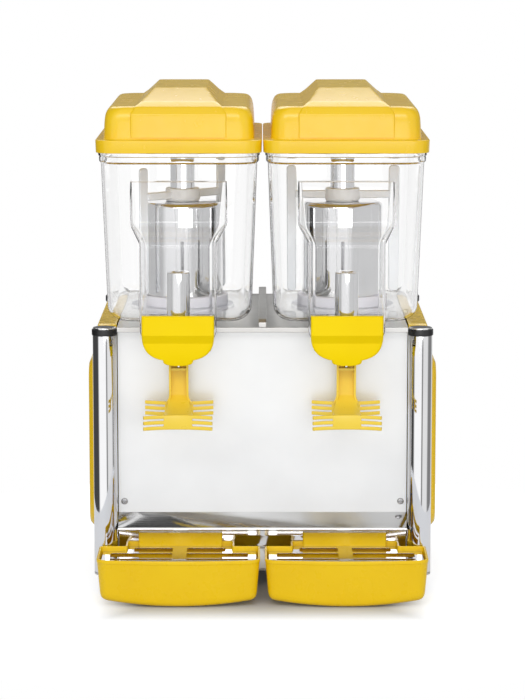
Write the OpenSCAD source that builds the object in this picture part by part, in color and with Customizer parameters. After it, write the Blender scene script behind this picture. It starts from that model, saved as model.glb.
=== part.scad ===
// Twin-tank refrigerated juice dispenser with lift-off tanks, push taps and drip trays.
// Frame: +Z up, front faces -Y, origin on the counter under the middle of the machine.

/* [Cabinet] */
// Spacing of the corner columns across the front, centre to centre
column_pitch = 395; // [391:1:420]
// Spacing of the front and rear columns, centre to centre
column_depth = 320; // [316:1:350]
// Outside diameter of a corner column
column_d = 30; // [26:1:31]
// Wall of a corner column
column_wall = 1.5; // [1:0.1:3]
// Height of the rubber feet
foot_h = 21; // [16:1:30]
// Diameter of a rubber foot
foot_d = 30; // [20:1:36]
// Thickness of the base plate
base_t = 3; // [2:0.5:5]
// Height of the deck that carries the tanks
deck_z = 336; // [330:1:370]
// Thickness of the cabinet's sheet metal
sheet_t = 1.5; // [1:0.1:2]
// Overhang of the deck ahead of the front columns
deck_reach = 6; // [2:1:7]
// Height of the folded lip on the deck's front edge
deck_lip = 6; // [4:0.5:8]
// Distance of the front panel behind the front columns
panel_back = 10; // [8:1:14]
// Height of the front panel's lower edge
panel_z = 98; // [92:1:110]
// Drop of the sloped shelf under the front panel
shelf_drop = 17; // [12:1:22]
// Reach of the shelf's edge ahead of the front columns
shelf_reach = 11.5; // [2:0.5:12]
// Distance of the plinth behind the front columns
plinth_back = 14; // [12:1:18]
// Distance of the rear panel ahead of the rear columns' centres
rear_inset = 2; // [0:0.5:4]
// Width of the rib between the tanks
divider_w = 10; // [6:0.5:11]
// Height of the rib between the tanks
divider_h = 10; // [6:1:16]
// Height of a column's black collar
collar_h = 8; // [6:0.5:12]
// Overhang of a collar round its column
collar_lip = 1; // [0.5:0.1:1.5]
// Thickness of a column's top cap
cap_t = 2; // [1:0.5:4]

/* [Side covers] */
// Distance from the middle of the machine to a side cover's raised pad
cover_reach = 220; // [218:1:240]
// Height of a side cover's raised pad over its edge
cover_bulge = 12; // [8:1:18]
// Drop of the raised pad's middle under the cover's middle
cover_low = 17; // [0:1:24]
// Wall of a side cover
cover_wall = 3; // [2:0.5:4]
// Height of a side cover's lower edge
cover_z = 60; // [50:1:80]
// Number of air slots in a side cover
cover_slots = 7; // [4:1:9]
// Height of an air slot
slot_h = 5; // [4:0.5:7]
// Length of an air slot
slot_l = 120; // [60:5:140]

/* [Tanks] */
// Spacing of the tanks and taps, centre to centre
tank_pitch = 208; // [208:1:212]
// Width of a tank under its flange
tank_w = 196; // [190:1:197]
// Depth of a tank under its flange
tank_d = 310; // [306:1:314]
// Draft of each tank wall from top to bottom
tank_draft = 8; // [4:0.5:9]
// Height of a tank from its bottom to its flange's top
tank_h = 213; // [211:1:240]
// Wall of a tank
tank_wall = 3.5; // [2.5:0.5:4]
// Corner radius of a tank
tank_r = 30; // [24:1:36]
// Radius between a tank's walls and bottom
tank_floor_r = 20; // [14:1:24]
// Overhang of a tank's flange
flange_lip = 3; // [2:0.5:3.5]
// Height of a tank's flange
flange_h = 11; // [8:1:14]
// Reach of a tank's front wall ahead of the front columns
tank_reach = 10; // [9:1:12]

/* [Nose and outlet] */
// Width of a tank's nose
nose_w = 94; // [88:1:98]
// Reach of the nose ahead of the front columns
nose_reach = 55; // [54:1:58]
// Height of the nose's underside over the deck
nose_drop = 24; // [22:1:26]
// Height of the nose's top over the deck
nose_top = 110; // [100:1:120]
// Width of the shallow upper nose
brow_w = 121; // [110:1:130]
// Reach of the upper nose past the tank wall
brow_reach = 12; // [8:1:16]
// Height of the upper nose's top over the deck
brow_top = 184; // [176:1:190]
// Height over which the nose widens into its brow
brow_step = 20; // [14:1:26]
// Reach of the outlet's axis ahead of the front columns
outlet_reach = 33; // [32:0.5:34]
// Bore of the outlet
outlet_bore = 12; // [11:0.5:13]
// Outside diameter of the outlet
outlet_d = 16; // [15:0.5:17]
// Length of the outlet under the nose
outlet_l = 10; // [9:0.5:10.5]

/* [Cooling cylinder] */
// Distance of a cooling cylinder's axis behind the front columns
evap_back = 170; // [166:1:176]
// Diameter of a cooling cylinder
evap_d = 104; // [100:1:106]
// Height of a cooling cylinder over the deck
evap_h = 142; // [136:1:150]
// Wall of a cooling cylinder
evap_wall = 1.2; // [1:0.1:2]
// Diameter of the cylinder's neck
neck_d = 32; // [28:1:36]
// Height of the neck over the cylinder
neck_h = 58; // [50:1:64]
// Width of the flange under the deck
evap_flange = 14; // [10:1:16]
// Thickness of the sealing ring under a tank
gasket_t = 5; // [4:0.5:6]
// Width of the sealing ring under a tank
gasket_w = 16; // [12:1:18]
// Width of the sealing ring's upright collar
gasket_lip = 6; // [4:0.5:7]
// Height of the sealing ring's upright collar
gasket_h = 16; // [12:1:18]

/* [Stirrer] */
// Diameter of the stirrer's hub
hub_d = 46; // [42:1:50]
// Height of the stirrer's hub
hub_h = 17; // [14:1:20]
// Distance from the stirrer's axis to a blade's outer edge
blade_reach = 74; // [70:0.5:75]
// Width of a stirrer blade
blade_w = 14; // [10:1:16]
// Thickness of a stirrer blade
blade_t = 4; // [3:0.5:6]
// Height of a blade's lower end over the deck
blade_low = 24; // [23:1:40]
// Height of a blade's upper end over the deck
blade_top = 188; // [180:1:196]
// Height of the stirrer's crossbar
bar_h = 10; // [8:1:12]
// Angle that the left stirrer is shown at
stir_left = 43; // [0:1:90]
// Angle that the right stirrer is shown at
stir_right = 0; // [0:1:90]
// Diameter of the drive shaft in the neck
drive_d = 8; // [6:0.5:10]
// Diameter of the drive magnet in the neck
magnet_d = 26; // [22:1:27]
// Diameter of a stirrer motor
motor_d = 60; // [50:1:66]
// Length of a stirrer motor
motor_l = 66; // [50:1:74]

/* [Tap] */
// Width of a tap cover
tap_w = 87; // [84:1:92]
// Reach of a tap cover ahead of the front columns
tap_reach = 66; // [65:0.5:70]
// Height of a tap cover over the nose's underside
tap_h = 46; // [42:1:50]
// Drop of a tap cover's lowest point under the nose
tap_drop = 16; // [15:0.5:17]
// Height of the tap cover's crease over the nose's underside
crease_h = 20; // [16:1:26]
// Wall of a tap cover
tap_wall = 3; // [2.5:0.5:3.5]
// Diameter of the plunger
plunger_d = 29; // [26:1:31]
// Height of the plunger
plunger_h = 94; // [80:1:100]
// Thickness of the plunger's rubber seal
seal_t = 3; // [2:0.5:4]
// Diameter of the plunger's stem
stem_d = 5; // [4:0.5:6]
// Diameter of the lever's pivot pin
pin_d = 4; // [3:0.5:5]
// Reach of the pivot pin ahead of the front columns
pin_reach = 44; // [43:0.5:45]
// Distance of the pivot pin under the nose
pin_drop = 8; // [7.5:0.5:8.5]

/* [Lever] */
// Width of the lever's channel
lever_w = 24; // [23:0.5:26]
// Thickness of the lever's walls
lever_t = 2.5; // [2:0.25:2.75]
// Depth of the lever's channel
lever_d = 17; // [15:0.5:18]
// Length of the lever under the nose
lever_l = 66; // [60:1:70]
// Width of a comb across its fingers
comb_w = 84; // [78:1:86]
// Width of a comb's middle plate
comb_mid = 35; // [30:1:40]
// Height of a comb
comb_h = 18; // [17:0.5:19]
// Height of a gap between a comb's fingers
comb_gap = 2.6; // [2:0.2:3]
// Thickness of a comb
comb_t = 3.5; // [3:0.25:4]
// Radius that a comb is curved to
comb_r = 100; // [90:1:130]
// Distance between the two combs
comb_pitch = 50; // [46:1:54]
// Drop of the front comb under the rear one
comb_step = 9; // [6:1:11]

/* [Lids] */
// Overhang of a lid's skirt past the tank's flange
lid_lip = 2.5; // [1:0.5:2.5]
// Height of a lid's skirt
skirt_h = 16.5; // [12:0.5:20]
// Width of the ledge on top of the skirt
lid_ledge = 11; // [8:0.5:14]
// Height of a lid's shoulders over the tank
lid_h = 57; // [50:1:64]
// Radius of a lid's shoulders
lid_r = 20; // [14:1:22]
// Wall of a lid
lid_wall = 2.5; // [2:0.5:3]
// Height of a lid's ridge over its shoulders
ridge_h = 18.5; // [14:0.5:22]
// Width of a lid's ridge at its foot
ridge_w = 98; // [90:1:110]
// Width of a lid's ridge at its top
ridge_top_w = 60; // [50:1:70]
// Length of a lid's ridge at its foot
ridge_l = 262; // [250:1:266]
// Length of a lid's ridge at its top
ridge_top_l = 160; // [140:1:180]
// Depth of the locating rim inside the tank
lid_rim = 8; // [5:0.5:10]

/* [Drip trays] */
// Width of a drip tray at its rim
tray_w = 202; // [190:1:203]
// Reach of a drip tray ahead of the front columns
tray_reach = 105; // [100:1:116]
// Bow of a tray's front edge
tray_bow = 7; // [4:0.5:10]
// Height of a tray's rim
tray_z = 60; // [54:1:62]
// Height of a tray's lowest point
tray_low = 1; // [1:0.5:6]
// Rise of a tray's bottom towards its sides
tray_rise = 13; // [6:0.5:14]
// Narrowing of a tray from rim to bottom on each side
tray_draft = 6; // [3:0.5:9]
// Wall of a tray
tray_wall = 2.5; // [2:0.25:3]
// Width of a tray's middle, between the columns
tray_mid_w = 137; // [120:1:145]
// Width of a tray's upstand
upstand_w = 106; // [90:1:116]
// Height of a tray's upstand over its rim
upstand_h = 11.6; // [9:0.2:12]
// Thickness of a tray's upstand
upstand_t = 6; // [5:0.5:7]
// Distance of the drip plate's top under the rim
plate_drop = 5.5; // [4:0.5:8]
// Thickness of a drip plate
plate_t = 1.5; // [1:0.25:2]
// Rows of slots in a drip plate
plate_rows = 3; // [2:1:4]
// Width of a slot in a drip plate
plate_slot = 22; // [12:1:24]
// Width of a bar between two slots
plate_bar = 8; // [6:0.5:10]
// Width of the rib in the middle of a drip plate
plate_rib = 18; // [12:1:30]

/* [Cooling unit] */
// Diameter of the compressor
comp_d = 124; // [110:1:130]
// Height of the compressor
comp_h = 136; // [120:1:150]
// Height of the compressor's rubber mounts
mount_h = 12; // [8:1:16]
// Width of the condenser
cond_w = 150; // [120:1:154]
// Depth of the condenser
cond_d = 40; // [30:1:44]
// Height of the condenser
cond_h = 170; // [150:1:180]
// Number of condenser fins
cond_fins = 15; // [9:2:21]
// Thickness of a condenser fin
fin_t = 1.5; // [1:0.25:2.5]
// Diameter of the condenser's tubes
cond_tube = 8; // [6:0.5:10]
// Diameter of the fan
fan_d = 124; // [110:1:128]
// Diameter of the fan's motor
fan_motor_d = 60; // [50:1:66]
// Length of the fan's motor
fan_motor_l = 40; // [34:1:44]
// Diameter of the fan's shaft
fan_shaft = 6; // [5:0.5:8]

/* [Controls] */
// Width of the control box
ctrl_w = 130; // [120:1:136]
// Height of the control box
ctrl_h = 80; // [70:1:84]
// Depth of the control box
ctrl_d = 44; // [36:1:50]
// Spacing of the switches and the knob
ctrl_pitch = 30; // [29:0.5:32]
// Width of a switch frame
bezel_w = 22; // [21:0.5:24]
// Height of a switch frame
bezel_h = 30; // [29:0.5:34]
// Diameter of the thermostat knob
knob_d = 22; // [18:1:24]
// Diameter of the cable gland
gland_d = 18; // [16:0.5:20]
// Bore of the cable gland
gland_bore = 7; // [6:0.5:9]

/* [Clearances] */
// Gap between pieces that slide past each other
slip = 0.3; // [0.2:0.05:0.5]
// Radial clearance of pins and shafts
fit = 0.05; // [0.02:0.01:0.1]
// Radial clearance of screws in their holes
screw_gap = 0.1; // [0.05:0.05:0.3]

/* [Hidden] */
$fn = 48;
hull_fn = 32;
e = 0.01;
m = 100;
half_d = (tray_reach + column_depth + column_d / 2 + collar_lip) / 2;
fy = tray_reach - half_d;
ry = fy + column_depth;
cx = column_pitch / 2;
tx = tank_pitch / 2;
col_r = column_d / 2;
base_top = foot_h + base_t;
collar_z = deck_z - cap_t - collar_h;
panel_y = fy + panel_back;
back_y = ry - rear_inset;
plinth_y = fy + plinth_back;
panel_hw = cx - col_r - 0.5;
panel_top = deck_z - deck_lip;
shelf_z = panel_z - shelf_drop;
deck_under = deck_z - sheet_t;
cover_y0 = fy + col_r + 2;
cover_y1 = ry - col_r - 2;
cover_in = panel_hw + sheet_t;
evap_y = fy + evap_back;
evap_top = deck_z + evap_h;
neck_top = evap_top + neck_h;
gasket_in = evap_d / 2 + slip;
tank_hole = gasket_in + gasket_lip + slip;
tank_z = deck_z + gasket_t;
tank_top = tank_z + tank_h;
tank_y = fy - tank_reach + tank_d / 2;
tank_front = fy - tank_reach;
nose_z = deck_z - nose_drop;
nose_back = fy - deck_reach - 3;
nose_front = fy - nose_reach;
out_y = fy - outlet_reach;
out_z = nose_z - outlet_l;
seat_z = nose_z + tank_wall;
pin_y = fy - pin_reach;
pin_z = nose_z - pin_drop;
stem_z = out_z - 12;
hub_z = evap_top + slip;
bar_z = hub_z + hub_h / 2 - bar_h / 2;
tap_r = tap_w / 2 + 3;
ear_t = 4;
ear_x = lever_w / 2 + 0.5;
floor_z = stem_z - slip;
push_a = 18;
lever_back = out_y + 9;
lever_z = nose_z - lever_l;
web_top = pin_z - (pin_z - out_z + 0.5 + (lever_back - pin_y) * sin(push_a)) / cos(push_a);
skirt_w = tank_w + 2 * flange_lip + 2 * lid_lip;
skirt_d = tank_d + 2 * flange_lip + 2 * lid_lip;
lid_w = skirt_w - 2 * lid_ledge;
lid_d = skirt_d - 2 * lid_ledge;
lid_top = tank_top + lid_h;
tray_front = fy - tray_reach;
tray_wing = fy - col_r - 1.5;
tray_back = plinth_y - slip;
plate_z = tray_z - plate_drop - plate_t;
tab_w = 20;
tab_t = 3;
tab_x = upstand_w / 4;
tab_z = tray_z + upstand_h / 2;
tab_l = upstand_t - 2;
plate_land = 11;
plate_least = 7;
motor_z = deck_under - 2;
comp_x = -92;
comp_y = fy + 200;
cond_x = 92;
cond_y1 = back_y - 18;
cond_y0 = cond_y1 - cond_d;
cond_z = base_top + 4;
fan_z = cond_z + cond_h / 2;
shroud_t = 4;
shroud_y = cond_y0 - shroud_t;
fan_y = shroud_y - 14;
fan_motor_y = fan_y - 12;
ctrl_x = 92;
ctrl_z = deck_under - 6 - ctrl_h;
knob_x = ctrl_x + 1.5 * ctrl_pitch;
switch_z = ctrl_z + ctrl_h / 2;
switch_x = [for (i = [-1.5, -0.5, 0.5]) ctrl_x + i * ctrl_pitch];
out_back = back_y + sheet_t;
gland_x = -130;
gland_z = base_top + 40;
screw_x = panel_hw - 7.5;
screw_z = panel_z + 14;
screw_d = 4;
head_d = 8.5;
head_h = 2.2;
screw_l = 9;
comp_lug = 10;
comp_foot = 88;
pipe_rise = 40;
rocker_w = bezel_w - 6;
rocker_h = bezel_h - 8;
bezel_t = 2.5;

// A rectangle centred on the origin with rounded corners.
module rrect(w, d, r) {
    square([w - 2 * r, d], center = true);
    square([w, d - 2 * r], center = true);
    for (x = [-1, 1], y = [-1, 1])
        translate([x * (w / 2 - r), y * (d / 2 - r)])
            circle(r);
}

// A box given by its two corners.
module span(a, b) {
    translate(a)
        cube(b - a);
}

// A round bar along X, along Y and along Z, from its middle and its start.
module rod_x(x0, x1, y, z, r) {
    translate([x0, y, z])
        rotate([0, 90, 0])
            cylinder(h = x1 - x0, r = r);
}
module rod_y(x, y0, y1, z, r) {
    translate([x, y0, z])
        rotate([-90, 0, 0])
            cylinder(h = y1 - y0, r = r);
}
module rod_z(x, y, z0, z1, r) {
    translate([x, y, z0])
        cylinder(h = z1 - z0, r = r);
}

// A side profile in Y and Z, given a width along X.
module slab_x(w, points) {
    translate([-w / 2, 0, 0])
        rotate([90, 0, 90])
            linear_extrude(w)
                polygon(points);
}

module each_column() {
    for (x = [-cx, cx], y = [fy, ry])
        translate([x, y, 0])
            children();
}

module each_side() {
    for (x = [-tx, tx])
        translate([x, 0, 0])
            children();
}

// Floor plate with a pad under each column and low side walls.
module base_pan() {
    color("silver") {
        translate([0, 0, foot_h])
            linear_extrude(base_t)
                union() {
                    translate([-cx, plinth_y])
                        square([2 * cx, ry - plinth_y]);
                    for (x = [-cx, cx], y = [fy, ry])
                        translate([x, y])
                            circle(col_r);
                    for (x = [-cx, cx])
                        translate([x - col_r, fy])
                            square([column_d, plinth_back + 4]);
                }
        for (x = [-1, 1])
            translate([x * (panel_hw + sheet_t / 2), 0, 0])
                span([-sheet_t / 2, cover_y0, base_top - e], [sheet_t / 2, cover_y1, cover_z - slip]);
    }
}

// Plinth face, the sloped shelf over it and the hidden tabs that carry the trays.
module plinth_panel() {
    color("gainsboro") {
        span([-panel_hw, plinth_y, base_top], [panel_hw, plinth_y + sheet_t, shelf_z - sheet_t]);
        slab_x(2 * panel_hw, [
            [plinth_y + sheet_t, shelf_z - 2 * sheet_t],
            [fy - shelf_reach + 2, shelf_z - 2 * sheet_t],
            [fy - shelf_reach + 2, shelf_z],
            [panel_y, panel_z],
            [panel_y + sheet_t * 2, panel_z],
            [panel_y + sheet_t * 2, panel_z - 1],
            [fy - shelf_reach + 2 + sheet_t * 2, shelf_z - sheet_t],
            [plinth_y + sheet_t, shelf_z - sheet_t]
        ]);
        rod_x(-panel_hw, panel_hw, fy - shelf_reach + 2, shelf_z - sheet_t / 2 - 0.25, 2);
        for (x = [-tx, tx], s = [-1, 1])
            translate([x + s * tab_x, 0, tab_z])
                span([-tab_w / 2, plinth_y - tab_l, -tab_t / 2], [tab_w / 2, plinth_y + e, tab_t / 2]);
    }
}

// Front sheet with folded sides and top.
module front_panel() {
    color("whitesmoke")
        difference() {
            union() {
                span([-panel_hw, panel_y, panel_z], [panel_hw, panel_y + sheet_t, deck_under]);
                for (s = [-1, 1])
                    translate([s * (panel_hw - sheet_t / 2), 0, 0])
                        span([-sheet_t / 2, panel_y, panel_z], [sheet_t / 2, cover_y0 + 4, deck_under]);
            }
            for (s = [-1, 1])
                rod_y(s * screw_x, panel_y - 1, panel_y + sheet_t + 1, screw_z, screw_d / 2 + screw_gap);
        }
}

// Rear sheet with air slots behind the condenser and holes for the controls.
module back_panel() {
    color("silver")
        difference() {
            span([-panel_hw + collar_lip, back_y, base_top], [panel_hw - collar_lip, out_back, deck_under]);
            for (i = [0:8], s = [-1, 1])
                translate([cond_x + s * cond_w / 4, 0, cond_z + (i + 0.7) * cond_h / 9])
                    span([-cond_w / 4 + 5, back_y - 1, -slot_h / 2],
                        [cond_w / 4 - 5, out_back + 1, slot_h / 2]);
            for (i = [0:4])
                translate([comp_x, 0, cond_z + 60 + i * 18])
                    span([-55, back_y - 1, -slot_h / 2], [55, out_back + 1, slot_h / 2]);
            for (x = switch_x)
                translate([x, 0, switch_z])
                    span([-bezel_w / 2 + 2 - slip, back_y - 1, -bezel_h / 2 + 2 - slip],
                        [bezel_w / 2 - 2 + slip, out_back + 1, bezel_h / 2 - 2 + slip]);
            rod_y(knob_x, back_y - 1, out_back + 1, switch_z, 5);
            rod_y(gland_x, back_y - 1, out_back + 1, gland_z, gland_d / 2 - 3 + screw_gap);
            back_screw_holes();
        }
}

module back_screw_holes() {
    for (x = [-screw_x, screw_x], z = [base_top + 12, deck_under - 12])
        rod_y(x, back_y - 1, out_back + 1, z, screw_d / 2 + screw_gap);
}

// Top sheet with a folded front lip and a hole for each cooling cylinder.
module top_deck() {
    color("silver")
        difference() {
            union() {
                span([-panel_hw, fy - deck_reach, deck_under], [panel_hw, out_back, deck_z]);
                span([-panel_hw, fy - deck_reach, deck_z - deck_lip],
                    [panel_hw, fy - deck_reach + sheet_t, deck_z]);
            }
            each_side()
                rod_z(0, evap_y, deck_under - 1, deck_z + 1, evap_d / 2 + slip);
        }
}

// Raised rib between the two tanks.
module deck_divider() {
    color("silver")
        slab_x(divider_w, [
            [fy - deck_reach + 2, deck_z],
            [fy - deck_reach + 2, deck_z + divider_h - 4],
            [fy - deck_reach + 8, deck_z + divider_h],
            [out_back - 4, deck_z + divider_h],
            [out_back - 4, deck_z]
        ]);
}

// One side cover with a raised pad, drawn on the right and mirrored for the left.
module cover_shell(grow, x_cut) {
    yc = (cover_y0 + cover_y1) / 2;
    zc = (cover_z + deck_z) / 2;
    w = cover_y1 - cover_y0 - 2 * grow;
    h = deck_z - cover_z - 2 * grow;
    edge = cover_reach - cover_bulge - grow;
    translate([0, yc, zc])
        rotate([90, 0, 90]) {
            translate([0, 0, x_cut])
                linear_extrude(edge - x_cut + e)
                    rrect(w, h, 16 - grow);
            translate([0, -cover_low, 0])
                hull($fn = hull_fn) {
                    translate([0, 0, edge - 1])
                        linear_extrude(1)
                            rrect(w - 20, h - 20 - 2 * cover_low, 26);
                    translate([0, 0, cover_reach - grow - 4])
                        linear_extrude(1)
                            rrect(w - 26, h - 26 - 2 * cover_low, 23);
                    translate([0, 0, cover_reach - grow - 1])
                        linear_extrude(1)
                            rrect(w - 36, h - 36 - 2 * cover_low, 18);
                }
        }
}

module side_cover(s) {
    color("gold")
        mirror([s < 0 ? 1 : 0, 0, 0])
            difference() {
                cover_shell(0, cover_in + slip);
                cover_shell(cover_wall, cover_in - 2);
                for (i = [0:cover_slots - 1])
                    translate([0, (cover_y0 + cover_y1) / 2, cover_z + 70 + i * 3 * slot_h])
                        span([cover_in - 3, -slot_l / 2, -slot_h / 2],
                            [cover_reach + 2, slot_l / 2, slot_h / 2]);
            }
}
module side_cover_left() { side_cover(-1); }
module side_cover_right() { side_cover(1); }

module corner_columns() {
    color("lightgray")
        each_column()
            difference() {
                rod_z(0, 0, base_top, collar_z, col_r);
                rod_z(0, 0, base_top - 1, collar_z + 1, col_r - column_wall);
            }
}

// Collar with a spigot that plugs the column.
module column_collars() {
    color("black")
        each_column() {
            rod_z(0, 0, collar_z, collar_z + collar_h, col_r + collar_lip);
            rod_z(0, 0, collar_z - 8, collar_z + e, col_r - column_wall - slip);
        }
}

module column_caps() {
    color("gainsboro")
        each_column()
            rod_z(0, 0, deck_z - cap_t, deck_z, col_r - 0.5);
}

module feet() {
    color("dimgray")
        for (x = [-cx + 34, cx - 34], y = [fy + 40, ry - 34])
            translate([x, y, 0])
                cylinder(h = foot_h, r1 = foot_d / 2 - 2, r2 = foot_d / 2);
}

// A pan-head screw that points along +Y, with its head's seat at y = 0.
module screw() {
    rod_y(0, -head_h, 0, 0, head_d / 2);
    rod_y(0, -e, screw_l, 0, screw_d / 2);
}

module panel_screws() {
    color("silver")
        for (s = [-1, 1])
            translate([s * screw_x, panel_y, screw_z])
                screw();
}

module back_screws() {
    color("silver")
        for (x = [-screw_x, screw_x], z = [base_top + 12, deck_under - 12])
            translate([x, out_back, z])
                rotate([0, 0, 180])
                    screw();
}

// Sealed compressor pot on its bracket.
module compressor() {
    z0 = base_top + mount_h;
    color([0.12, 0.12, 0.13])
        difference() {
            union() {
                intersection() {
                    rod_z(comp_x, comp_y, z0 + 2, z0 + comp_h, comp_d / 2);
                    translate([comp_x, comp_y, z0 + comp_h / 2])
                        sphere(comp_h * 0.66, $fn = 64);
                }
                span([comp_x - comp_d / 2 - comp_lug, comp_y - comp_foot / 2, z0],
                    [comp_x + comp_d / 2 + comp_lug, comp_y + comp_foot / 2, z0 + 3]);
                rod_z(comp_x + 34, comp_y, z0 + comp_h - 20, z0 + comp_h + 12, 5);
            }
            rod_z(comp_x + 34, comp_y, z0 + comp_h, z0 + comp_h + 13, 4 + slip);
        }
}

module compressor_mounts() {
    color("black")
        for (x = [-1, 1], y = [-1, 1])
            translate([comp_x + x * (comp_d / 2 + 1), comp_y + y * 34, 0])
                rod_z(0, 0, base_top, base_top + mount_h, 8);
}

// Finned condenser on two end plates that stand on the base.
module condenser() {
    color("darkgray") {
        for (i = [0:cond_fins - 1])
            translate([cond_x - cond_w / 2 + fin_t / 2 + i * (cond_w - fin_t) / (cond_fins - 1), 0, 0])
                span([-fin_t / 2, cond_y0, i % (cond_fins - 1) == 0 ? base_top : cond_z],
                    [fin_t / 2, cond_y1, cond_z + cond_h]);
        for (k = [0:3], y = [cond_y0 + cond_d / 4, cond_y1 - cond_d / 4])
            rod_x(cond_x - cond_w / 2 + e, cond_x + cond_w / 2 - e, y,
                cond_z + (k + 0.5) * cond_h / 4, cond_tube / 2);
    }
}

module fan_shroud() {
    color("dimgray")
        difference() {
            span([cond_x - cond_w / 2, shroud_y, base_top], [cond_x + cond_w / 2, cond_y0, cond_z + cond_h]);
            rod_y(cond_x, shroud_y - 1, cond_y0 + 1, fan_z, fan_d / 2 + 2);
        }
}

// Motor on three arms that meet the shroud outside the fan's sweep.
module fan_motor() {
    arm = fan_d / 2 + 7;
    color("slategray")
        translate([cond_x, 0, fan_z]) {
            rod_y(0, fan_motor_y - fan_motor_l, fan_motor_y, 0, fan_motor_d / 2);
            rod_y(0, fan_motor_y - e, shroud_y, 0, fan_shaft / 2);
            for (i = [45, 135, 225, 315])
                rotate([0, i, 0]) {
                    span([0, fan_motor_y - 6, -3], [arm + 3, fan_motor_y - 3, 3]);
                    span([arm - 3, fan_motor_y - 6, -3], [arm + 3, shroud_y, 3]);
                }
        }
}

module fan_blades() {
    color("black")
        translate([cond_x, fan_y, fan_z])
            difference() {
                union() {
                    rod_y(0, -8, 8, 0, 14);
                    for (i = [0:4])
                        rotate([0, i * 72, 0])
                            rotate([28, 0, 0])
                                span([11, -1, -9], [fan_d / 2 - 4, 1, 9]);
                }
                rod_y(0, -9, 9, 0, fan_shaft / 2 + fit);
            }
}

// Hollow cooling cylinder with its neck, turned in one piece.
module evaporator() {
    r = evap_d / 2;
    n = neck_d / 2;
    color("lightgray")
        translate([0, evap_y, 0])
            rotate_extrude()
                polygon([
                    [r - evap_wall, motor_z], [r + evap_flange, motor_z], [r + evap_flange, deck_under],
                    [r, deck_under], [r, evap_top - 3], [r - 3, evap_top], [n, evap_top],
                    [n, neck_top - 3], [n - 3, neck_top], [0, neck_top], [0, neck_top - 1.5],
                    [n - evap_wall, neck_top - 4], [n - evap_wall, evap_top - evap_wall],
                    [r - evap_wall, evap_top - evap_wall - 2]
                ]);
}
module evaporator_left() { translate([-tx, 0, 0]) evaporator(); }
module evaporator_right() { translate([tx, 0, 0]) evaporator(); }

// Cold sleeve inside each cylinder.
module cooling_jackets() {
    color("peru")
        each_side()
            difference() {
                rod_z(0, evap_y, motor_z, evap_top - 14, evap_d / 2 - evap_wall - slip);
                rod_z(0, evap_y, motor_z - 1, evap_top, evap_d / 2 - evap_wall - 8);
            }
}

// Soft ring that seals each tank to the deck and to its cylinder.
module deck_gaskets() {
    color("white")
        each_side()
            translate([0, evap_y, 0])
                rotate_extrude()
                    polygon([
                        [gasket_in, deck_z], [gasket_in + gasket_w, deck_z],
                        [gasket_in + gasket_w, tank_z], [gasket_in + gasket_lip, tank_z],
                        [gasket_in + gasket_lip, tank_z + gasket_h], [gasket_in, tank_z + gasket_h]
                    ]);
}

module stirrer_motors() {
    color("dimgray")
        each_side()
            difference() {
                union() {
                    rod_z(0, evap_y, motor_z - 4, motor_z, evap_d / 2 + evap_flange);
                    rod_z(0, evap_y, motor_z - motor_l, motor_z - 3, motor_d / 2);
                }
                rod_z(0, evap_y, motor_z - motor_l + 10, motor_z + 1, drive_d / 2 + fit);
            }
}

// Shaft and magnet that turn the stirrer through the neck's wall.
module drive_rotor() {
    color("gray") {
        rod_z(0, evap_y, motor_z - motor_l + 10 + slip, hub_z + hub_h + 8, drive_d / 2);
        rod_z(0, evap_y, hub_z, hub_z + hub_h, magnet_d / 2);
    }
}
module drive_rotor_left() { translate([-tx, 0, 0]) drive_rotor(); }
module drive_rotor_right() { translate([tx, 0, 0]) drive_rotor(); }

// Closed box behind the switches.
module control_box() {
    color("gray")
        difference() {
            span([ctrl_x - ctrl_w / 2, back_y - ctrl_d, ctrl_z],
                [ctrl_x + ctrl_w / 2, back_y, ctrl_z + ctrl_h]);
            for (x = switch_x)
                translate([x, 0, switch_z])
                    span([-bezel_w / 2 + 2 - slip, back_y - 16, -bezel_h / 2 + 2 - slip],
                        [bezel_w / 2 - 2 + slip, back_y + 1, bezel_h / 2 - 2 + slip]);
            rod_y(knob_x, back_y - 16, back_y + 1, switch_z, 3 + fit);
        }
}

// Frame of each switch, with a socket for the rocker's trunnions.
module switch_frames() {
    color([0.08, 0.08, 0.08])
        for (x = switch_x)
            translate([x, 0, switch_z])
                difference() {
                    union() {
                        span([-bezel_w / 2, out_back, -bezel_h / 2],
                            [bezel_w / 2, out_back + bezel_t, bezel_h / 2]);
                        span([-bezel_w / 2 + 2, back_y - 14, -bezel_h / 2 + 2],
                            [bezel_w / 2 - 2, out_back + e, bezel_h / 2 - 2]);
                    }
                    span([-rocker_w / 2 - slip, back_y - 12, -rocker_h / 2 - 1],
                        [rocker_w / 2 + slip, out_back + bezel_t + 1, rocker_h / 2 + 1]);
                    rod_x(-bezel_w / 2 + 2.2, bezel_w / 2 - 2.2, out_back - 3, 0, 1.5 + fit);
                }
}

// Rocker tilted to its off side.
module rocker(i) {
    translate([switch_x[i], out_back - 3, switch_z]) {
        rotate([-8, 0, 0])
            slab_x(rocker_w, [
                [-3, -6], [2.5, -rocker_h / 2 + 1], [6, -rocker_h / 2 + 1], [4.4, 0],
                [6, rocker_h / 2 - 1], [2.5, rocker_h / 2 - 1], [-3, 6]
            ]);
        rod_x(-rocker_w / 2 - 0.6, rocker_w / 2 + 0.6, 0, 0, 1.5);
    }
}
module rocker_cooling() { color("darkgreen") rocker(0); }
module rocker_mixer_left() { color("black") rocker(1); }
module rocker_mixer_right() { color("black") rocker(2); }

module thermostat_knob() {
    color("black")
        translate([knob_x, 0, switch_z]) {
            rod_y(0, back_y - 15, out_back + 2, 0, 3);
            rod_y(0, out_back + slip, out_back + 11, 0, knob_d / 2);
            span([-2, out_back + 10, -knob_d / 2 + 1], [2, out_back + 14, knob_d / 2 - 1]);
        }
}

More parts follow.
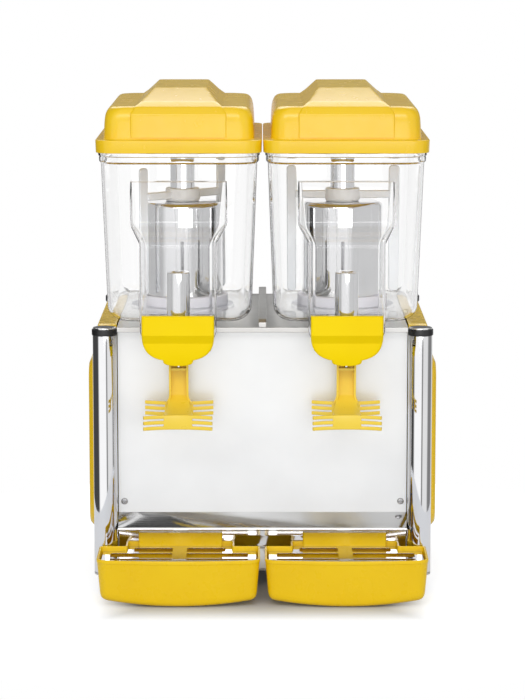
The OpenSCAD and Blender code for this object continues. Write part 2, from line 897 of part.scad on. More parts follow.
module cable_gland() {
    color("black")
        translate([gland_x, 0, gland_z])
            difference() {
                union() {
                    rod_y(0, out_back, out_back + 10, 0, gland_d / 2);
                    rod_y(0, back_y - 8, out_back + e, 0, gland_d / 2 - 3);
                    rod_y(0, back_y - 6, back_y, 0, gland_d / 2);
                }
                rod_y(0, back_y - 9, out_back + 11, 0, gland_bore / 2);
            }
}

// Copper lines from the compressor to the condenser and up to the cylinders' sleeves.
module refrigerant_pipes() {
    r = 4;
    z0 = base_top + mount_h + comp_h;
    z1 = z0 + pipe_rise;
    px = comp_x + 34;
    qx = cond_x - cond_w / 2;
    ky = cond_y0 + cond_d / 4;
    kz = cond_z + 3.5 * cond_h / 4;
    color("peru") {
        rod_z(px, comp_y, z0, z1, r);
        translate([px, comp_y, z1]) sphere(r);
        rod_y(px, comp_y, ky, z1, r);
        translate([px, ky, z1]) sphere(r);
        rod_z(px, ky, kz, z1, r);
        translate([px, ky, kz]) sphere(r);
        rod_x(px, qx, ky, kz, r);
    }
}

// Outside of a tank's basin, drawn in by a wall: its top outline and the rounding of its floor.
module basin(grow, z0, z1) {
    low_w = tank_w - 2 * grow - 2 * tank_draft;
    low_d = tank_d - 2 * grow - 2 * tank_draft;
    r = tank_floor_r - grow;
    k = 2 * tank_draft * (z1 - tank_z) / tank_h;
    translate([0, tank_y, 0])
        hull($fn = hull_fn) {
            translate([0, 0, z1 - 0.02])
                linear_extrude(0.02)
                    rrect(low_w + k, low_d + k, tank_r - grow);
            for (a = [0:18:90])
                let (cut = r * (1 - sin(a)))
                    translate([0, 0, z0 + r * (1 - cos(a))])
                        linear_extrude(0.02)
                            rrect(low_w - 2 * cut, low_d - 2 * cut, tank_r - grow - cut);
        }
}

// Nose of a tank, drawn in by a wall: a front outline crossed with a side profile.
module nose(grow) {
    z_top = deck_z + nose_top;
    z_step = tank_z + 10 + grow;
    z_brow = z_top + brow_step;
    z_end = deck_z + brow_top;
    y_in = tank_front + 18;
    w = nose_w / 2 - grow;
    v = brow_w / 2 - grow;
    intersection() {
        translate([0, y_in + 1, 0])
            rotate([90, 0, 0])
                linear_extrude(y_in + 1 - nose_front + m)
                    polygon([
                        [-w, nose_z + grow], [w, nose_z + grow], [w, z_top], [v, z_brow],
                        [v, z_end], [-v, z_end], [-v, z_brow], [-w, z_top]
                    ]);
        slab_x(brow_w + 2, [
            [nose_front + grow, nose_z + grow - 1], [nose_back - grow, nose_z + grow - 1],
            [nose_back - grow, z_step], [y_in, z_step], [y_in, z_end + 1],
            [tank_front + grow - 0.4, z_end + 1], [tank_front - brow_reach + grow, z_brow],
            [nose_front + grow, z_top]
        ]);
    }
}

module tank() {
    fw = tank_w + 2 * flange_lip;
    fd = tank_d + 2 * flange_lip;
    color([0.85, 0.9, 0.95, 0.4])
        difference() {
            union() {
                basin(0, tank_z, tank_top - 2);
                nose(0);
                translate([0, tank_y, tank_top - flange_h])
                    linear_extrude(flange_h)
                        rrect(fw, fd, tank_r + flange_lip);
                rod_z(0, out_y, out_z, nose_z + 1, outlet_d / 2);
            }
            basin(tank_wall, tank_z + tank_wall, tank_top + 1);
            nose(tank_wall);
            rod_z(0, evap_y, tank_z - 1, tank_z + tank_wall + 1, tank_hole);
            rod_z(0, out_y, out_z - 1, seat_z + 1, outlet_bore / 2);
        }
}
module tank_left() { translate([-tx, 0, 0]) tank(); }
module tank_right() { translate([tx, 0, 0]) tank(); }

// Front outline of a tap cover in X and Z, drawn in by a wall.
module tap_outline(grow) {
    z_arc = nose_z - tap_drop + tap_r;
    intersection() {
        translate([-tap_w / 2 + grow, nose_z - tap_drop - 1])
            square([tap_w - 2 * grow, tap_h + tap_drop + 1 - grow]);
        union() {
            translate([0, z_arc])
                circle(tap_r - grow, $fn = 96);
            translate([-tap_w / 2, z_arc - 2])
                square([tap_w, m]);
        }
    }
}

// Shell in front of the nose, with a crease across it and two ears under the nose.
module tap_cover() {
    y0 = fy - tap_reach;
    y1 = nose_front - slip;
    yb = out_y + 12;
    cz = nose_z + crease_h;
    color("gold")
        difference() {
            intersection() {
                translate([0, yb, 0])
                    rotate([90, 0, 0])
                        linear_extrude(yb - y0)
                            tap_outline(0);
                slab_x(tap_w + 2, [
                    [y1, nose_z + tap_h + 1], [y0 + 2.5, nose_z + tap_h + 1], [y0, cz],
                    [y0 + 4, cz - 9], [y0 + 4, nose_z - tap_drop - 1], [yb, nose_z - tap_drop - 1],
                    [yb, nose_z - slip], [y1, nose_z - slip]
                ]);
            }
            intersection() {
                translate([0, yb + 1, 0])
                    rotate([90, 0, 0])
                        linear_extrude(yb + 1 - y0 - tap_wall - 4)
                            tap_outline(tap_wall);
                span([-tap_w, y0, nose_z - tap_drop - 2], [tap_w, yb + 2, nose_z + tap_h]);
            }
            span([-ear_x, pin_y - 10, nose_z - tap_drop - 2], [ear_x, yb + 2, nose_z]);
        }
    color("gold")
        for (s = [-1, 1])
            difference() {
                translate([s * (ear_x + ear_t / 2), 0, 0])
                    span([-ear_t / 2, y0 + tap_wall + 4 - e, nose_z - tap_drop + 4],
                        [ear_t / 2, pin_y + 6, nose_z - slip]);
                rod_x(-tap_w / 2, tap_w / 2, pin_y, pin_z, pin_d / 2 + fit / 5);
            }
}
module tap_cover_left() { translate([-tx, 0, 0]) tap_cover(); }
module tap_cover_right() { translate([tx, 0, 0]) tap_cover(); }

module lever_pin() {
    color("silver")
        rod_x(-ear_x - ear_t, ear_x + ear_t, pin_y, pin_z, pin_d / 2);
}
module lever_pin_left() { translate([-tx, 0, 0]) lever_pin(); }
module lever_pin_right() { translate([tx, 0, 0]) lever_pin(); }

// A curved comb with three fingers on each side, its middle at y = 0, bowed to one side.
module comb(bow) {
    a = asin(comb_w / 2 / comb_r);
    f = (comb_h - 2 * comb_gap) / 3;
    difference() {
        translate([0, bow * comb_r, 0])
            rotate([0, 0, bow > 0 ? 270 - a : 90 - a])
                rotate_extrude(angle = 2 * a, $fn = 128)
                    translate([comb_r - comb_t / 2, 0])
                        square([comb_t, comb_h]);
        for (s = [-1, 1], k = [0, 1])
            translate([s * (comb_mid / 2 + m / 2), 0, f + k * (f + comb_gap) + comb_gap / 2])
                cube([m, m, comb_gap], center = true);
    }
}

// Push lever: pivot arms and channel, a bridge under the stem, a foot and two combs.
module lever() {
    yb = lever_back;
    fy0 = yb - comb_pitch;
    arm_x = lever_w / 2 - lever_t / 2;
    top = pin_z - 2;
    color("goldenrod")
        difference() {
            union() {
                for (s = [-1, 1])
                    translate([s * arm_x, 0, 0]) {
                        slab_x(lever_t, [
                            [pin_y - 1, pin_z - 5], [yb - lever_d, pin_z - 12],
                            [yb - lever_d / 2, lever_z + 8], [yb, lever_z], [yb, top], [pin_y, pin_z + 4]
                        ]);
                        rod_x(-lever_t / 2, lever_t / 2, pin_y, pin_z, pin_d / 2 + 3);
                    }
                span([-lever_w / 2, yb - lever_t, lever_z - 2], [lever_w / 2, yb, web_top]);
                span([-lever_w / 2 + e, out_y - 5, floor_z - 3], [lever_w / 2 - e, out_y + 3, floor_z]);
                slab_x(comb_mid, [
                    [yb, lever_z + 2], [yb - lever_t - 3, lever_z + 2], [yb - 18, lever_z - 6],
                    [fy0, lever_z - comb_step - 1], [fy0, lever_z - comb_step - 5], [yb - 18, lever_z - 10],
                    [yb, lever_z - 8]
                ]);
                translate([0, yb - comb_t / 2, lever_z - comb_h])
                    comb(1);
                translate([0, fy0 + comb_t / 2, lever_z - comb_step - comb_h])
                    comb(-1);
            }
            rod_x(-lever_w, lever_w, pin_y, pin_z, pin_d / 2 + fit);
            rod_z(0, out_y - 2, lever_z - 30, lever_z + 12, outlet_bore / 2 + 1);
        }
}
module lever_left() { translate([-tx, 0, 0]) lever(); }
module lever_right() { translate([tx, 0, 0]) lever(); }

// Weighted plunger with its lift stem.
module plunger() {
    color("lightgray") {
        rod_z(0, out_y, seat_z + seal_t + slip, seat_z + plunger_h, plunger_d / 2);
        rod_z(0, out_y, stem_z, seat_z + seal_t + slip + e, stem_d / 2);
    }
}
module plunger_left() { translate([-tx, 0, 0]) plunger(); }
module plunger_right() { translate([tx, 0, 0]) plunger(); }

module plunger_seal() {
    color("dimgray")
        difference() {
            rod_z(0, out_y, seat_z + slip, seat_z + seal_t + slip, plunger_d / 2 - 2);
            rod_z(0, out_y, seat_z, seat_z + seal_t + 1, stem_d / 2 + fit / 5);
        }
}
module plunger_seal_left() { translate([-tx, 0, 0]) plunger_seal(); }
module plunger_seal_right() { translate([tx, 0, 0]) plunger_seal(); }

// Stirrer: a hub round the neck, a crossbar and two upright blades.
module agitator(angle) {
    inner = blade_reach - blade_w;
    color("whitesmoke")
        translate([0, evap_y, 0])
            rotate([0, 0, angle])
                difference() {
                    union() {
                        rod_z(0, 0, hub_z, hub_z + hub_h, hub_d / 2);
                        span([-inner - 1, -blade_t, bar_z], [inner + 1, blade_t, bar_z + bar_h]);
                        for (s = [-1, 1])
                            translate([s * (inner + blade_w / 2), 0, 0])
                                span([-blade_w / 2, -blade_t / 2, deck_z + blade_low],
                                    [blade_w / 2, blade_t / 2, deck_z + blade_top]);
                    }
                    rod_z(0, 0, hub_z - 1, hub_z + hub_h + 1, neck_d / 2 + slip);
                }
}
module agitator_left() { translate([-tx, 0, 0]) agitator(stir_left); }
module agitator_right() { translate([tx, 0, 0]) agitator(stir_right); }

// Dome of a lid and its ridge, drawn in by a wall.
module lid_dome(grow) {
    w = lid_w - 2 * grow;
    d = lid_d - 2 * grow;
    r = lid_r - grow;
    z0 = tank_top + skirt_h - 1;
    hull($fn = hull_fn) {
        translate([0, tank_y, grow > 0 ? tank_top - 1 : z0])
            linear_extrude(1)
                rrect(w, d, 22 - grow);
        for (x = [-1, 1], y = [-1, 1])
            translate([x * (w / 2 - lid_r - 2), tank_y + y * (d / 2 - lid_r - 2), lid_top - lid_r])
                sphere(r);
    }
    hull() {
        translate([0, tank_y, lid_top - 8])
            linear_extrude(1)
                rrect(ridge_w - 2 * grow + 8, ridge_l - 2 * grow, 16);
        translate([0, tank_y, lid_top + ridge_h / 3 - grow])
            linear_extrude(0.5)
                rrect(ridge_w - 2 * grow, ridge_l - 16 - 2 * grow, 14);
        translate([0, tank_y + 12, lid_top + ridge_h - 0.5 - grow])
            linear_extrude(0.5)
                rrect(ridge_top_w - 2 * grow, ridge_top_l - 2 * grow, 10);
    }
}

module lid() {
    rim_w = tank_w - 2 * tank_wall - 2 * slip - 1;
    rim_d = tank_d - 2 * tank_wall - 2 * slip - 1;
    color("gold")
        difference() {
            union() {
                translate([0, tank_y, tank_top])
                    linear_extrude(skirt_h)
                        rrect(skirt_w, skirt_d, 22);
                translate([0, tank_y, tank_top - lid_rim])
                    linear_extrude(lid_rim + 1)
                        rrect(rim_w, rim_d, tank_r - tank_wall - 1);
                lid_dome(0);
            }
            translate([0, tank_y, tank_top - lid_rim - 1])
                linear_extrude(lid_rim + 2)
                    rrect(rim_w - 2 * lid_wall, rim_d - 2 * lid_wall, tank_r - tank_wall - 1 - lid_wall);
            lid_dome(lid_wall);
        }
}
module lid_left() { translate([-tx, 0, 0]) lid(); }
module lid_right() { translate([tx, 0, 0]) lid(); }

// Plan of a tray's rim: a bowed front edge, straight sides and a straight back.
module tray_plan(grow) {
    w = tray_w / 2 - grow;
    y0 = tray_front + grow;
    y1 = tray_wing - grow;
    r = 18 - grow;
    front = [for (i = [-8:8]) let (t = i / 8) [t * (w - r), y0 + tray_bow * t * t]];
    right = [for (i = [1:6]) let (b = i * 15) [w - r + r * sin(b), y0 + tray_bow + r * (1 - cos(b))]];
    left = [for (i = [6:-1:1]) let (b = i * 15) [-w + r - r * sin(b), y0 + tray_bow + r * (1 - cos(b))]];
    polygon(concat(left, front, right, [[w, y1], [-w, y1]]));
}

// Body of a tray with its bowed bottom, drawn in by a wall.
module tray_body(grow, z1) {
    w = tray_w / 2 - tray_draft - grow - 8;
    hull() {
        translate([0, 0, z1 - 3])
            linear_extrude(3)
                tray_plan(grow);
        translate([0, tray_wing - grow, 0])
            rotate([90, 0, 0])
                linear_extrude(tray_wing - tray_front - tray_draft - tray_bow - 2 * grow - 4)
                    polygon(concat(
                        [for (i = [-10:10]) let (t = i / 10) [t * w, tray_low + grow + tray_rise * t * t]],
                        [[w + 6, tray_low + tray_rise + 8], [-w - 6, tray_low + tray_rise + 8]]));
    }
}

module drip_tray() {
    mw = tray_mid_w / 2;
    low = tray_low + 14;
    color("gold")
        difference() {
            union() {
                tray_body(0, tray_z);
                span([-mw, tray_wing - 12, low], [mw, tray_back, tray_z]);
                span([-upstand_w / 2, tray_back - upstand_t, tray_z - 10],
                    [upstand_w / 2, tray_back, tray_z + upstand_h]);
            }
            difference() {
                union() {
                    tray_body(tray_wall, tray_z + 1);
                    span([-mw + tray_wall, tray_wing - 24, low + tray_wall],
                        [mw - tray_wall, tray_back - upstand_t, tray_z + 1]);
                }
                for (x = [-1, 1], y = [tray_front + 26, tray_wing - 14])
                    rod_z(x * (tray_w / 2 - 26), y, 0, plate_z, 4);
            }
            for (s = [-1, 1])
                translate([s * tab_x, 0, tab_z])
                    span([-tab_w / 2 - slip, tray_back - tab_l - 1, -tab_t / 2 - slip],
                        [tab_w / 2 + slip, tray_back + 1, tab_t / 2 + slip]);
        }
}
module drip_tray_left() { translate([-tx, 0, 0]) drip_tray(); }
module drip_tray_right() { translate([tx, 0, 0]) drip_tray(); }

// Polished plate with rows of wide slots on both sides of a middle rib.
module drip_plate() {
    mw = tray_mid_w / 2 - tray_wall - 2 * slip;
    back = tray_back - upstand_t - slip;
    color("lightgray")
        translate([0, 0, plate_z])
            linear_extrude(plate_t)
                difference() {
                    union() {
                        tray_plan(tray_wall + 2.5);
                        translate([-mw, tray_wing - 12])
                            square([2 * mw, back - tray_wing + 12]);
                    }
                    for (i = [0:plate_rows - 1]) {
                        y1 = back - plate_land - i * (plate_slot + plate_bar);
                        y0 = max(y1 - plate_slot, tray_front + 3 * plate_land);
                        x1 = y1 < tray_wing - 2 * plate_bar ? tray_w / 2 - 15 : mw - plate_bar;
                        if (y1 - y0 > plate_least)
                            for (s = [-1, 1])
                                translate([s * (x1 + plate_rib / 2) / 2, (y0 + y1) / 2])
                                    rrect(x1 - plate_rib / 2, y1 - y0, 3);
                    }
                }
}
module drip_plate_left() { translate([-tx, 0, 0]) drip_plate(); }
module drip_plate_right() { translate([tx, 0, 0]) drip_plate(); }

base_pan();
plinth_panel();
front_panel();
back_panel();
top_deck();
deck_divider();
side_cover_left();
side_cover_right();
corner_columns();
column_collars();
column_caps();
feet();
panel_screws();
back_screws();
compressor();
compressor_mounts();
condenser();
fan_shroud();
fan_motor();
fan_blades();
evaporator_left();
evaporator_right();
cooling_jackets();
deck_gaskets();
stirrer_motors();
drive_rotor_left();
drive_rotor_right();
control_box();
switch_frames();
rocker_cooling();
rocker_mixer_left();
rocker_mixer_right();
thermostat_knob();
cable_gland();
refrigerant_pipes();
tank_left();
tank_right();
tap_cover_left();
tap_cover_right();
lever_pin_left();
lever_pin_right();
lever_left();
lever_right();
plunger_left();
plunger_right();
plunger_seal_left();
plunger_seal_right();
agitator_left();
agitator_right();
lid_left();
lid_right();
drip_tray_left();
drip_tray_right();
drip_plate_left();
drip_plate_right();
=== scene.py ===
from math import radians
import bmesh
import bpy
import numpy as np
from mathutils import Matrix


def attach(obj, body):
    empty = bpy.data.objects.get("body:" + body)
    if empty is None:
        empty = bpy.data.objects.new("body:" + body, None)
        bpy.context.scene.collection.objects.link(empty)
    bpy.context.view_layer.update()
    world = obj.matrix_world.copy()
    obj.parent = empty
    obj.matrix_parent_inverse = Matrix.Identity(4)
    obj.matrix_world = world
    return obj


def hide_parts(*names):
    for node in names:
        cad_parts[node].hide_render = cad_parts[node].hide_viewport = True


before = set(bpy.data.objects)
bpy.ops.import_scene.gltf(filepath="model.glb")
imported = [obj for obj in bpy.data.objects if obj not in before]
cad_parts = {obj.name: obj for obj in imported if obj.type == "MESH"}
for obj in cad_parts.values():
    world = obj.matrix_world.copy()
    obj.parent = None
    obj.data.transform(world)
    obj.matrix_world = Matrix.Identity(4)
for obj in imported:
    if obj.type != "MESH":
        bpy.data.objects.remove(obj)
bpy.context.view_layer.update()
scene = bpy.context.scene
mm = 0.001
weld = 2e-6  # points closer than this, in metres, become one
sides = {"left": -104.0, "right": 104.0}  # middle of each tank, tap and tray, mm
print("frame loaded")


# shapes: every length below is in millimetres

# quads between the lines of a k by n grid, round the loop and from the last line to the first
# where asked
def gridFaces(k, n, loop=True, ring=False):
    i, j = np.meshgrid(np.arange(k if ring else k - 1), np.arange(n if loop else n - 1), indexing="ij")
    i2, j2 = (i + 1) % k, (j + 1) % n
    return np.stack([i * n + j, i * n + j2, i2 * n + j2, i2 * n + j], -1).reshape(-1, 4)


# closed shell from stacked loops (k, n, 3): each loop joins the next, and both ends close on their
# middle
def stacked(rings, ends="caps"):
    rings = np.asarray(rings, float)
    k, n = rings.shape[:2]
    verts, faces = rings.reshape(-1, 3), gridFaces(k, n, True, ends == "ring").tolist()
    if ends == "caps":
        a = np.arange(n)
        b = (a + 1) % n
        verts = np.vstack([verts, rings[0].mean(0), rings[-1].mean(0)])
        faces += np.stack([np.full(n, k * n), b, a], -1).tolist()
        faces += np.stack([np.full(n, k * n + 1), (k - 1) * n + a, (k - 1) * n + b], -1).tolist()
    return verts, faces


# closed wall between two sheets of the same grid, joined all round their edges; drop leaves out
# some cells
def thickSheet(outer, inner, drop=None):
    k, n = outer.shape[:2]
    cells = gridFaces(k, n, loop=False)
    keep = np.ones(len(cells), bool) if drop is None else ~drop.reshape(-1)
    cells = cells[keep]
    edges = np.stack([cells, np.roll(cells, -1, 1)], -1).reshape(-1, 2)
    key = np.sort(edges, 1) @ np.array([k * n, 1])
    found, uses = np.unique(key, return_counts=True)
    rim = edges[np.isin(key, found[uses == 1])]
    walls = np.stack([rim[:, 1], rim[:, 0], rim[:, 0] + k * n, rim[:, 1] + k * n], -1)
    verts = np.vstack([outer.reshape(-1, 3), inner.reshape(-1, 3)])
    return verts, cells.tolist() + (cells[:, ::-1] + k * n).tolist() + walls.tolist()


# loops of a rounded rectangle, one for each row (half width, front, back, height, corner radius)
def rectLoops(rows, arc=8, side=6):
    w, f, b, z, r = (c[:, None] for c in np.asarray(rows, float).T)
    t = np.linspace(0, np.pi / 2, arc + 1)
    turns = ((1, b - r, 0), (-1, b - r, np.pi / 2), (-1, f + r, np.pi), (1, f + r, 1.5 * np.pi))
    corners = [np.stack([sx * (w - r) + r * np.cos(t + q), y + r * np.sin(t + q)], -1) for sx, y, q in turns]
    s = (np.arange(1, side + 1) / (side + 1))[:, None]
    runs = []
    for here, after in zip(corners, corners[1:] + corners[:1]):
        runs += [here, here[:, -1:] * (1 - s) + after[:, :1] * s]
    xy = np.concatenate(runs, 1)
    return np.concatenate([xy, np.broadcast_to(z[..., None], xy.shape[:2] + (1,))], -1)


# a profile with its corners rounded: each inner row becomes a short curve that leaves the line
# `cut` before it
def softRows(rows, cut, steps=4, measure=None):
    rows = np.asarray(rows, float)
    cut = np.broadcast_to(np.asarray(cut, float), len(rows))
    part = list(range(rows.shape[1])) if measure is None else measure
    t = np.linspace(0, 1, steps + 1)[:, None]
    out = [rows[:1]]
    for p, q, s, c in zip(rows[:-2], rows[1:-1], rows[2:], cut[1:-1]):
        a = q + (p - q) * min(c / max(np.linalg.norm((p - q)[part]), 1e-6), 0.49)
        b = q + (s - q) * min(c / max(np.linalg.norm((s - q)[part]), 1e-6), 0.49)
        out.append((1 - t) ** 2 * a + 2 * t * (1 - t) * q + t ** 2 * b)
    return np.vstack(out + [rows[-1:]])


# profile rows (radius, height) carried round an upright axis through centre
def turned(rows, centre, steps=72, ends="caps"):
    r, h = (c[:, None] for c in np.asarray(rows, float).T)
    a = np.linspace(0, 2 * np.pi, steps, endpoint=False)
    rings = np.stack([r * np.cos(a), r * np.sin(a), h + 0 * a], -1)
    return stacked(rings + np.asarray(centre, float), ends)


# a rounded bar of half thickness t, from z0 to z1, carried along a plan path (k, 2)
def barAlong(path, t, z0, z1, r=0.7):
    path = np.asarray(path, float)
    way = np.gradient(path, axis=0)
    way /= np.linalg.norm(way, axis=1, keepdims=True)
    across = np.stack([-way[:, 1], way[:, 0]], -1)
    loop = rectLoops([[t, z0, z1, 0, r]], arc=3, side=1)[0]
    spot = path[:, None, :] + across[:, None, :] * loop[None, :, :1]
    up = np.broadcast_to(loop[None, :, 1:2], spot.shape[:2] + (1,))
    return stacked(np.concatenate([spot, up], -1))


def moved(shell, x, y=0.0):
    return np.asarray(shell[0], float) + (x, y, 0), shell[1]


# one mesh from several closed shells, doubles merged and faces turned outwards
def meshOf(name, shells):
    starts = np.cumsum([0] + [len(v) for v, f in shells])
    mesh = bpy.data.meshes.new(name)
    faces = [[int(i) + s for i in face] for (v, f), s in zip(shells, starts.tolist()) for face in f]
    mesh.from_pydata((np.vstack([v for v, f in shells]) * mm).tolist(), [], faces)
    bm = bmesh.new()
    bm.from_mesh(mesh)
    bmesh.ops.remove_doubles(bm, verts=bm.verts, dist=weld)
    bmesh.ops.recalc_face_normals(bm, faces=bm.faces)
    bm.to_mesh(mesh)
    bm.free()
    return mesh


def objectOf(name, mesh):
    obj = bpy.data.objects.new(name, mesh)
    scene.collection.objects.link(obj)
    return obj


# cuts the tool away from the target, or joins it on, and keeps the result as plain mesh
def carve(target, tool, operation="DIFFERENCE"):
    cut = target.modifiers.new("carve", "BOOLEAN")
    cut.operation, cut.object, cut.solver = operation, tool, "EXACT"
    baked = bpy.data.meshes.new_from_object(target.evaluated_get(bpy.context.evaluated_depsgraph_get()))
    target.modifiers.clear()
    target.data = baked
    bpy.data.objects.remove(tool)


# a finished piece: smooth with sharp edges past the crease angle, its finish, its body and the solids
# it stands for
def piece(name, mesh, finish, body, nodes, crease=38):
    mesh.shade_smooth()
    mesh.set_sharp_from_angle(angle=radians(crease))
    obj = objectOf(name, mesh)
    mesh.materials.clear()
    mesh.materials.append(finish)
    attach(obj, body)
    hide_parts(*nodes)
    return obj


easing = dict(flat=0.6, crease=30, sharp=32, cuts=2)  # angles in degrees, and cuts over each edge


# a sheet-metal or moulded solid kept as it is, with its edges broken by a small round
def eased(node, finish, body, width=0.5):
    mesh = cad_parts[node].data.copy()
    bm = bmesh.new()
    bm.from_mesh(mesh)
    bmesh.ops.remove_doubles(bm, verts=bm.verts, dist=weld)
    bmesh.ops.dissolve_limit(bm, angle_limit=radians(easing["flat"]), verts=bm.verts, edges=bm.edges)
    bm.to_mesh(mesh)
    bm.free()
    obj = piece(node + "Eased", mesh, finish, body, [node], easing["crease"])
    edge = obj.modifiers.new("edge", "BEVEL")
    edge.width, edge.segments, edge.limit_method = width * mm, easing["cuts"], "ANGLE"
    edge.angle_limit, edge.harden_normals = radians(easing["sharp"]), True
    return obj


# finishes

def hexColor(code):
    s = np.array([int(code[i:i + 2], 16) for i in (0, 2, 4)]) / 255
    linear = np.where(s <= 0.04045, s / 12.92, ((s + 0.055) / 1.055) ** 2.4)
    return tuple(float(c) for c in linear) + (1.0,)


# adds a node, sets its fields, and fills or links its inputs by name or number
def addNode(tree, kind, inputs=None, **settings):
    node = tree.nodes.new(kind)
    for key, value in settings.items():
        setattr(node, key, value)
    for key, value in (inputs or {}).items():
        if isinstance(value, bpy.types.NodeSocket):
            tree.links.new(value, node.inputs[key])
        else:
            node.inputs[key].default_value = value
    return node


def startFinish(name):
    finish = bpy.data.materials.new(name)
    finish.use_nodes = True
    finish.node_tree.nodes.clear()
    tree = finish.node_tree
    return finish, tree, addNode(tree, "ShaderNodeTexCoord").outputs["Object"]


def endFinish(tree, settings):
    shader = addNode(tree, "ShaderNodeBsdfPrincipled", settings)
    addNode(tree, "ShaderNodeOutputMaterial", {"Surface": shader.outputs["BSDF"]})


# injection-moulded plastic: clouded colour over 70 mm, gloss that wanders over 14 mm, a fine peel,
# and edges rubbed a little paler; shine is the strength of its mirror-like skin
def mouldedPlastic(name, colour, deep, gloss, peel=1.4, relief=0.015, ior=1.53, worn="FFE48A", shine=0.5):
    finish, tree, at = startFinish(name)
    cloud = addNode(tree, "ShaderNodeTexNoise", {"Vector": at, "Scale": 1 / 0.07, "Detail": 3.0})
    share = addNode(tree, "ShaderNodeMapRange",
                    {"Value": cloud.outputs["Fac"], "From Min": 0.35, "From Max": 0.68})
    tone = addNode(tree, "ShaderNodeMix", {0: share.outputs[0], 6: hexColor(colour), 7: hexColor(deep)},
                   data_type="RGBA")
    edge = addNode(tree, "ShaderNodeNewGeometry")
    rub = addNode(tree, "ShaderNodeMapRange", {"Value": edge.outputs["Pointiness"], "From Min": 0.54,
                                               "From Max": 0.64, "To Max": 0.16})
    skin = addNode(tree, "ShaderNodeMix", {0: rub.outputs[0], 6: tone.outputs[2], 7: hexColor(worn)},
                   data_type="RGBA")
    smear = addNode(tree, "ShaderNodeTexNoise", {"Vector": at, "Scale": 1 / 0.014, "Detail": 5.0})
    rough = addNode(tree, "ShaderNodeMapRange", {"Value": smear.outputs["Fac"], "From Min": 0.3,
                                                 "From Max": 0.7, "To Min": gloss[0], "To Max": gloss[1]})
    grain = addNode(tree, "ShaderNodeTexNoise", {"Vector": at, "Scale": 1 / (peel * mm), "Detail": 2.0})
    bump = addNode(tree, "ShaderNodeBump",
                   {"Height": grain.outputs["Fac"], "Strength": relief, "Distance": 0.0002})
    endFinish(tree, {"Base Color": skin.outputs[2], "Roughness": rough.outputs[0], "Normal": bump.outputs[0],
                     "IOR": ior, "Specular IOR Level": shine})
    return finish


# steel sheet or tube: lines drawn out along one way, each about `line` mm wide, that shift its gloss
# and its shade; turn stretches its highlights, and metal is the share that mirrors, not scatters
def drawnSteel(name, colour, deep, gloss, along, line=0.8, relief=0.02, turn=0.0, metal=1.0):
    finish, tree, at = startFinish(name)
    spread = [1 / (line * mm)] * 3
    spread[along] = 1 / 0.12
    lay = addNode(tree, "ShaderNodeMapping", {"Vector": at, "Scale": spread})
    lines = addNode(tree, "ShaderNodeTexNoise", {"Vector": lay.outputs[0], "Scale": 1.0, "Detail": 4.0})
    haze = addNode(tree, "ShaderNodeTexNoise", {"Vector": at, "Scale": 1 / 0.09, "Detail": 4.0})
    both = addNode(tree, "ShaderNodeMath", {0: lines.outputs["Fac"], 1: haze.outputs["Fac"]},
                   operation="MULTIPLY")
    rough = addNode(tree, "ShaderNodeMapRange", {"Value": both.outputs[0], "From Min": 0.12,
                                                 "From Max": 0.42, "To Min": gloss[0], "To Max": gloss[1]})
    share = addNode(tree, "ShaderNodeMapRange",
                    {"Value": haze.outputs["Fac"], "From Min": 0.35, "From Max": 0.7})
    tone = addNode(tree, "ShaderNodeMix", {0: share.outputs[0], 6: hexColor(colour), 7: hexColor(deep)},
                   data_type="RGBA")
    bump = addNode(tree, "ShaderNodeBump",
                   {"Height": lines.outputs["Fac"], "Strength": relief, "Distance": 0.0001})
    endFinish(tree, {"Base Color": tone.outputs[2], "Metallic": metal, "Roughness": rough.outputs[0],
                     "Normal": bump.outputs[0], "Anisotropic": turn})
    return finish


# clear polycarbonate: moulded, with a slow ripple over 40 mm and a faint bloom in its gloss;
# lamps shine straight through it
def clearPolycarbonate(name):
    finish, tree, at = startFinish(name)
    bloom = addNode(tree, "ShaderNodeTexNoise", {"Vector": at, "Scale": 1 / 0.03, "Detail": 4.0})
    rough = addNode(tree, "ShaderNodeMapRange", {"Value": bloom.outputs["Fac"], "From Min": 0.35,
                                                 "From Max": 0.75, "To Min": 0.0, "To Max": 0.02})
    ripple = addNode(tree, "ShaderNodeTexNoise", {"Vector": at, "Scale": 1 / 0.04, "Detail": 1.0})
    bump = addNode(tree, "ShaderNodeBump",
                   {"Height": ripple.outputs["Fac"], "Strength": 0.04, "Distance": 0.0006})
    glass = addNode(tree, "ShaderNodeBsdfPrincipled",
                    {"Base Color": hexColor("FEFEFE"), "Roughness": rough.outputs[0], "IOR": 1.36,
                     "Transmission Weight": 1.0, "Normal": bump.outputs[0]})
    through = addNode(tree, "ShaderNodeBsdfTransparent", {"Color": (0.96, 0.97, 0.97, 1.0)})
    ray = addNode(tree, "ShaderNodeLightPath")
    both = addNode(tree, "ShaderNodeMixShader", {0: ray.outputs["Is Shadow Ray"], 1: glass.outputs[0],
                                                 2: through.outputs[0]})
    addNode(tree, "ShaderNodeOutputMaterial", {"Surface": both.outputs[0]})
    return finish


